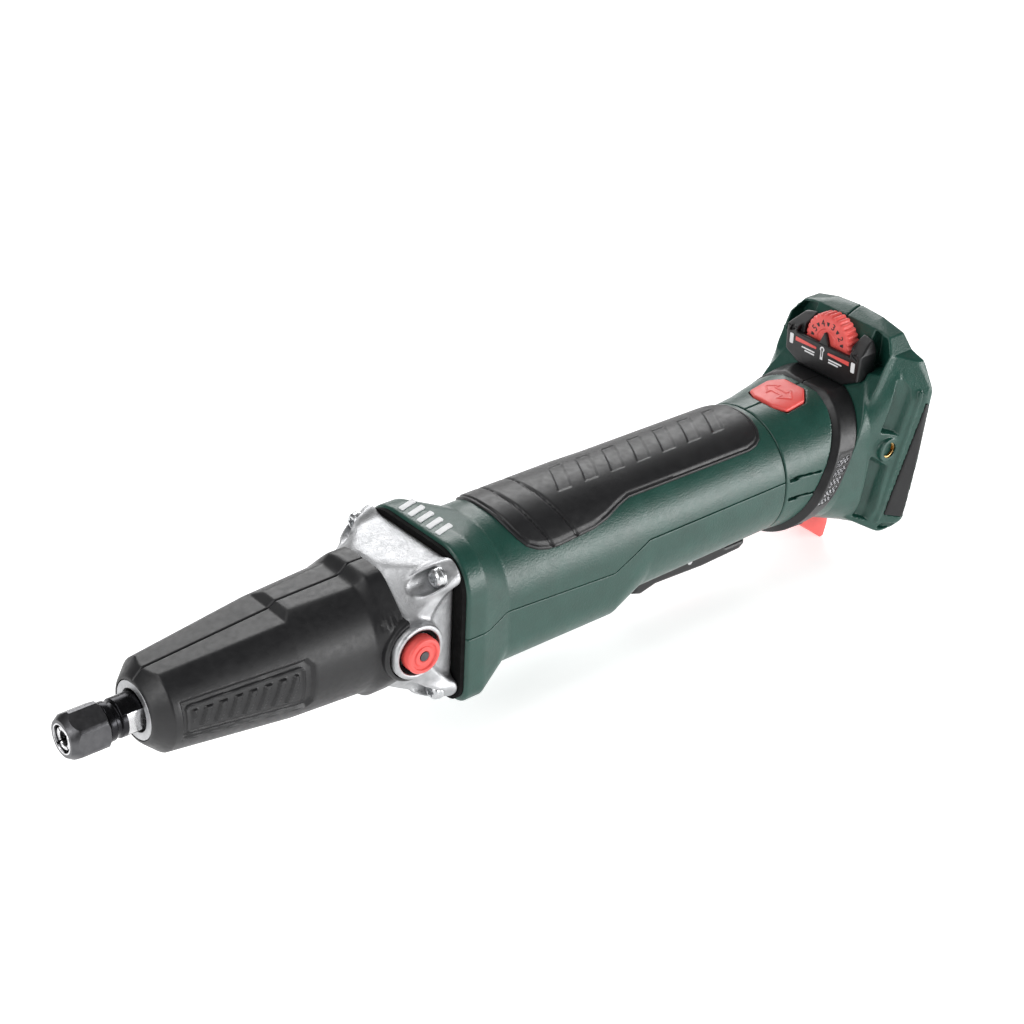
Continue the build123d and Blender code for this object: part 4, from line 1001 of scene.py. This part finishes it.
def make_inserts():
    """Threaded brass inserts: a stack of turned ridges inside."""
    for sign, side in ((-1, "left"), (1, "right")):
        outer_end, inner_end = INSERT_LOW[1] + 1.0, INSERT_HIGH[1]
        low, high = (outer_end, inner_end) if sign < 0 else (-inner_end, -outer_end)
        profile = [(low, 4.5), (high, 4.5), (high, 3.9)]
        count = 4
        pitch = (high - low) / count
        for i in range(count):
            top = high - i * pitch
            profile += [(top - 0.25 * pitch, 3.35), (top - 0.75 * pitch, 3.85)]
        profile.append((low, 3.7))
        insert = lathe(f"brass_insert_{side}", profile, "y", (INSERT_X, INSERT_Z), 64)
        place(insert, "foot", "brass", BRASS, f"threaded_insert_{side}", sharp=30.0)


# --- filter ring -----------------------------------------------------------------------------------
RING_STATIONS = (
    (FOOT_FRONT, 30.0, 30.0, -30.0, 29.0, 29.0),
    (362.0, 30.4, 30.4, -30.4, 28.0, 28.0),
    (384.0, 31.0, 31.0, -31.0, 28.0, 28.0),
    (400.0, 31.8, 32.4, -32.0, 28.0, 28.0),
)


def ring_patches(lean, z):
    """Row of slightly slanted windows on each side of the filter ring."""
    rise = z - 0.2 * (lean - 378.7)
    stripes = np.abs((rise + 13.0) % 4.5 - 2.25) - 1.45
    return meet(meet(stripes, slab(lean, 375.6, 382.0), 0.3), slab(rise, -12.8, 9.4))


def make_filter_frame():
    """Leaning ring around the neck: slanted front, smooth block above and a row of windows."""
    field = Field((356.0, -39.5, -39.5), (406.5, 0.8, 42.0), 0.45)
    x, y, z = field.x, field.y, field.z
    lean = x - FILTER_LEAN * z
    outer = skin_field(field, RING_STATIONS, 3.1)
    ring = meet(meet(outer, slab(lean, 370.2, 384.0), 0.8), -skin_field(field, RING_STATIONS, -1.0), 0.4)
    slant = 0.707 * (outer + 373.5 - lean)
    ring = meet(ring, slant, 0.3)
    # the block above the windows stands a little prouder than the windowed band
    band = meet(slab(z, -26.0, 11.6), np.maximum(-0.5 - outer, 375.0 - lean), 0.3)
    ring = cut(ring, band, 0.4)
    ring = cut(ring, meet(ring_patches(lean, z), -2.2 - outer), 0.2)
    ring = cut(ring, meet(polygon(bezel_outline(0.35), y, z), slab(x, 380.0, 411.0)), 0.5)
    ring = meet(ring, y + 0.05, 0.3)
    left = field.mesh("filter_ring_left", ring)
    mirror = left.data.copy()
    mirror.transform(Matrix.Scale(-1, 4, (0, 1, 0)))
    mirror.flip_normals()
    right = add_object("filter_ring_right", mirror)
    for piece in (left, right):
        place(piece, "foot", "black_plastic", BLACK, "filter_frame", sharp=60.0)


def make_filter_mesh():
    """Woven screens behind the ring's windows."""
    for sign, side in ((-1, "left"), (1, "right")):
        field = Field((362.0, 26.0, -16.0), (390.0, 35.5, 13.0), 0.22)
        x, z = field.x, field.z
        lean = x - FILTER_LEAN * z
        surface = skin_field(field, RING_STATIONS, 2.1)
        window = meet(slab(lean, 375.4, 382.2), slab(z, -14.5, 11.5))
        pitch, wire = 1.05, 0.26
        along = np.abs((lean / pitch) % 1.0 - 0.5) * pitch
        across = np.abs((z / pitch) % 1.0 - 0.5) * pitch
        wave_a = 0.18 * np.cos(math.pi * np.floor(lean / pitch) + math.pi * z / pitch)
        wave_b = -0.18 * np.cos(math.pi * np.floor(z / pitch) + math.pi * lean / pitch)
        wires = np.minimum(np.hypot(along, surface - wave_a), np.hypot(across, surface - wave_b)) - wire
        shape = meet(wires, window)
        screen = field.mesh(f"filter_screen_{side}", shape)
        if sign < 0:
            screen.data.transform(Matrix.Scale(-1, 4, (0, 1, 0)))
            screen.data.flip_normals()
        place(screen, "foot", "mesh", MESH, "filter_mesh", sharp=50.0)


def make_filter_latch():
    low, high = cad_box("filter_latch")
    outline = ((377.0, -33.5), (390.0, -41.5), (402.5, -51.8), (404.6, -51.6), (406.3, -45.0),
               (406.3, -31.0), (377.0, -31.0))
    latch = prism("filter_latch_tab", rounded_outline(outline, [0.5, 2.0, 1.2, 1.2, 1.5, 0.3, 0.3], 4), "y",
                  low[1], high[1])
    bevelled(latch, 0.7, 3)
    return place(latch, "filter_latch", "red_plastic", RED, "filter_latch")


# --- dial ------------------------------------------------------------------------------------------
def make_dial():
    """Knurled dial with generic numbers on its front face."""
    rear = 407.5
    ribs, per = 30, 8
    columns = ribs * per
    angle = np.linspace(0, 2 * math.pi, columns, endpoint=False)[None, :]
    wave = np.clip(np.abs(((angle * ribs / (2 * math.pi)) % 1.0) - 0.5) * 4 - 0.7, 0, 1)
    profile = [(DIAL_X, 0.3, 0), (DIAL_X, 5.0, 0), (DIAL_X + 0.3, 5.4, 0), (DIAL_X + 0.3, 6.2, 0),
               (DIAL_X, 6.6, 0), (DIAL_X, 11.2, 0), (DIAL_X + 0.1, 12.4, 0.3), (DIAL_X + 0.5, 13.2, 0.8),
               (DIAL_X + 1.3, 13.7, 1), (rear - 1.0, 13.75, 1), (rear - 0.4, 13.5, 1), (rear, 12.6, 0.6),
               (rear, 3.0, 0), (411.0, 2.45, 0), (411.5, 2.0, 0), (411.5, 0.3, 0)]
    x = np.array([row[0] for row in profile])[:, None]
    knurl = 0.75 * np.array([row[2] for row in profile])[:, None] * wave
    radius = np.array([row[1] for row in profile])[:, None] - knurl
    grid = np.stack(np.broadcast_arrays(x, radius * np.cos(angle), DIAL_Z + radius * np.sin(angle)), -1)
    dial = mesh_from("dial_knob", grid.reshape(-1, 3), grid_faces(len(profile), columns, True, True))
    place(dial, "speed_dial", "red_plastic", RED, "speed_dial", sharp=35.0)
    for number in range(1, 7):
        turn = math.radians(90 + (3.45 - number) * 40)
        text = bpy.data.curves.new(f"number_{number}", "FONT")
        text.body = str(number)
        text.size = 4.6 * MM
        text.extrude = 0.12 * MM
        text.align_x, text.align_y = "CENTER", "CENTER"
        holder = bpy.data.objects.new(f"number_{number}", text)
        bpy.context.scene.collection.objects.link(holder)
        bpy.context.view_layer.update()
        mesh = bpy.data.meshes.new_from_object(holder.evaluated_get(bpy.context.evaluated_depsgraph_get()))
        bpy.data.objects.remove(holder)
        # the text's right is -Y and its up is +Z when seen from the front
        stand = Matrix(((0, 0, -1, 0), (-1, 0, 0, 0), (0, 1, 0, 0), (0, 0, 0, 1)))
        spin = Matrix.Rotation(turn - math.pi / 2, 4, (1, 0, 0))
        shift = Matrix.Translation((0, 0, 9.1 * MM))
        move = Matrix.Translation((DIAL_X * MM - 0.02 * MM, 0, DIAL_Z * MM))
        mesh.transform(move @ spin @ shift @ stand)
        figure = add_object(f"dial_number_{number}", mesh)
        place(figure, "speed_dial", "black_plastic", INK)
        dash_turn = turn - math.radians(20)
        wedge = rounded_outline(((-0.35, 8.2), (0.35, 8.2), (0.9, 10.0), (-0.9, 10.0)), 0.15, 2)
        dash = prism(f"dial_dash_{number}", wedge, "x",
                     -0.14, 0.1)
        dash.data.transform(move @ Matrix.Rotation(dash_turn - math.pi / 2, 4, (1, 0, 0)))
        place(dash, "speed_dial", "black_plastic", INK)


def make_bezel():
    """Black dial surround with a sloping lid, a pointer and a rounded front plate."""
    field = Field((BEZEL_LOW[0] - 1.0, -24.5, 32.0), (BEZEL_HIGH[0] + 1.0, 24.5, 58.0), 0.32)
    x, y, z = field.x, field.y, field.z
    lid = 0.86 * (z - 50.6 - 0.56 * (x - BEZEL_LOW[0]))
    shape = meet(polygon(bezel_outline(0.0), y, z), slab(x, BEZEL_LOW[0], BEZEL_HIGH[0]), 1.0)
    shape = meet(shape, lid, 0.5)
    well = disc(y, z, (0, DIAL_Z), DIAL_RADIUS + 0.5)
    shape = cut(shape, meet(well, slab(x, DIAL_X - 0.3, 420.0)), 0.4)
    shape = cut(shape, meet(meet(slab(x, DIAL_X - 0.3, 420.0),
                                 slab(y, -DIAL_RADIUS - 0.5, DIAL_RADIUS + 0.5)),
                            slab(z, DIAL_Z, 70.0)), 0.4)
    opening = ((-16.6, 48.6), (16.6, 48.6), (14.6, 60.0), (-14.6, 60.0))
    shape = cut(shape, meet(polygon(opening, y, z), slab(x, 390.0, DIAL_X + 0.4)), 0.6)
    for sign in (-1, 1):
        notch = ((sign * 17.6, 49.6), (sign * 21.0, 47.9), (sign * 19.6, 51.6))
        shape = cut(shape, meet(polygon(notch, y, z), slab(x, 390.0, BEZEL_LOW[0] + 1.2)), 0.3)
    pointer = ((-3.4, 47.0), (3.4, 47.0), (0.35, 54.4), (-0.35, 54.4))
    shape = join(shape, meet(polygon(pointer, y, z), slab(x, BEZEL_LOW[0] + 0.3, DIAL_X - 0.35), 0.5))
    bezel = field.mesh("dial_surround", shape)
    return place(bezel, "foot", "black_plastic", BLACK, "dial_bezel", sharp=60.0)


def make_bezel_marks():
    """Two red stripes, pale end blocks and a plain pill mark on the dial's front plate."""
    front = BEZEL_LOW[0]
    for number, sign in enumerate((-1, 1), 1):
        stripe = ((sign * 3.6, 44.8), (sign * 16.6, 44.3), (sign * 16.6, 46.4), (sign * 3.6, 45.9))
        bar = prism(f"dial_stripe_{number}", rounded_outline(stripe, 0.25, 2), "x", front - 0.14, front + 0.1)
        place(bar, "foot", "red_plastic", RED, "dial_marks")
        ends = ((sign * 18.0, 42.0), (sign * 20.2, 42.0), (sign * 20.2, 47.0), (sign * 18.0, 47.0))
        pale = prism(f"dial_end_block_{number}", rounded_outline(ends, 0.4, 2), "x", front - 0.14,
                     front + 0.1)
        place(pale, "foot", "white_print", WHITE, "dial_end_marks")
        for row in range(2):
            line = ((sign * 4.4, 42.4 - 1.3 * row), (sign * (12.5 - 2 * row), 42.4 - 1.3 * row),
                    (sign * (12.5 - 2 * row), 43.1 - 1.3 * row), (sign * 4.4, 43.1 - 1.3 * row))
            plain = prism(f"dial_line_{number}_{row}", rounded_outline(line, 0.2, 2), "x", front - 0.12,
                          front + 0.1)
            place(plain, "foot", "white_print", WHITE)
    angles = np.linspace(-0.3 * math.pi, 1.3 * math.pi, 17)
    pill = [(1.3 * math.cos(a), 46.2 + 1.3 * math.sin(a)) for a in angles]
    pill += [(-0.75, 43.0), (-0.75, 41.0), (0.75, 41.0), (0.75, 43.0)]
    mark = prism("dial_pill", pill, "x", front - 0.14, front + 0.1)
    hollow = [(y * 0.45, 45.6 + (z - 45.6) * 0.7) for y, z in pill]
    combine(mark, prism("hollow", hollow, "x", front - 1.0, front + 1.0))
    place(mark, "foot", "white_print", WHITE)


# --- swivel button ---------------------------------------------------------------------------------
def make_swivel_button():
    """Release button on top of the neck, with a raised double arrow."""
    field = Field((359.5, -12.0, 21.0), (382.0, 12.0, 35.5), 0.3)
    x, y, z = field.x, field.y, field.z
    top = skin_field(field, REAR_STATIONS, 1.0)
    cap = meet(polygon(button_outline(0.0), x, y), meet(top, 28.4 - z), 1.0)
    stem = meet(slab(x, 364.6, 377.0), meet(slab(y, -5.0, 5.0), slab(z, 22.0, 29.5)))
    arrow = ((369.3, -3.4), (369.3, 3.4), (366.6, 3.4), (370.8, 8.2), (375.0, 3.4), (372.3, 3.4),
             (372.3, -3.4), (375.0, -3.4), (370.8, -8.2), (366.6, -3.4))
    ridge = np.abs(polygon(arrow, x, y)) - 0.35
    mark = meet(ridge, meet(top - 0.28, -1.5 - top))
    button = field.mesh("swivel_release", join(join(cap, stem), mark, 0.2))
    return place(button, "swivel_button", "red_plastic", RED, "swivel_button", sharp=60.0)


# --- staging ---------------------------------------------------------------------------------------
def make_floor():
    level = cad_box("filter_latch")[0][2]
    points = [(x, y, level) for x, y in ((-4000, -4000), (4000, -4000), (4000, 4000), (-4000, 4000))]
    floor = mesh_from("floor", points, [(0, 1, 2, 3)])
    shade = Shade("pale_floor", Roughness=0.7, Emission_Color=(1.0, 1.0, 1.0, 1.0), Emission_Strength=0.62)
    shade.colour(shade.noise(400.0, 2.0), ((0.3, (0.90, 0.90, 0.90)), (0.7, (0.93, 0.93, 0.93))))
    floor.data.materials.append(shade.material)


CAMERA_PLACE = (-321.9, -614.9, 498.3)
CAMERA_TURN = (-41.065, 30.228, 2.567)
CAMERA_LENS = 79.69


def make_camera():
    azimuth, elevation, roll = (math.radians(value) for value in CAMERA_TURN)
    back = Vector((math.sin(azimuth) * math.cos(elevation), -math.cos(azimuth) * math.cos(elevation),
                   math.sin(elevation)))
    right = Vector((math.cos(azimuth), math.sin(azimuth), 0.0))
    up = back.cross(right)
    rolled_right = right * math.cos(roll) + up * math.sin(roll)
    rolled_up = up * math.cos(roll) - right * math.sin(roll)
    data = bpy.data.cameras.new("camera")
    data.lens = CAMERA_LENS
    data.sensor_width = 36.0
    camera = bpy.data.objects.new("camera", data)
    bpy.context.scene.collection.objects.link(camera)
    turn = Matrix((rolled_right, rolled_up, back)).transposed().to_4x4()
    camera.matrix_world = Matrix.Translation(Vector(CAMERA_PLACE) * MM) @ turn
    bpy.context.scene.camera = camera


def area_light(name, place_m, target_m, size, power):
    data = bpy.data.lights.new(name, "AREA")
    data.shape = "RECTANGLE"
    data.size, data.size_y = size
    data.energy = power
    light = bpy.data.objects.new(name, data)
    bpy.context.scene.collection.objects.link(light)
    direction = Vector(target_m) - Vector(place_m)
    light.matrix_world = Matrix.Translation(place_m) @ direction.to_track_quat("-Z", "Y").to_matrix().to_4x4()


def make_lights():
    world = bpy.data.worlds.new("studio")
    world.use_nodes = True
    world.node_tree.nodes["Background"].inputs["Color"].default_value = (1.0, 1.0, 1.0, 1.0)
    world.node_tree.nodes["Background"].inputs["Strength"].default_value = 0.16
    bpy.context.scene.world = world
    centre = (0.23, 0.0, 0.0)
    area_light("side_panel", (1.05, -1.25, 0.22), centre, (1.5, 0.5), 19.0)
    area_light("back_panel", (0.95, 1.15, 0.85), centre, (1.5, 0.7), 17.0)
    area_light("front_panel", (-1.1, -0.25, 0.55), centre, (0.7, 0.8), 8.0)
    area_light("top_panel", (-0.5, 0.2, 1.5), centre, (0.9, 0.4), 7.0)


bpy.context.scene.view_settings.view_transform = "Standard"
make_camera()
make_collet()
make_collet_nut()
make_spindle()
make_retaining_ring()
make_sleeve()
make_casting()
make_nose_screws()
make_lock_button()
make_body()
make_collar_marks()
make_grip_pad()
make_paddle()
make_lock_lever()
foot_halves()
make_bumpers()
make_inserts()
make_filter_frame()
make_filter_mesh()
make_filter_latch()
make_dial()
make_bezel()
make_bezel_marks()
make_swivel_button()
make_floor()
make_lights()
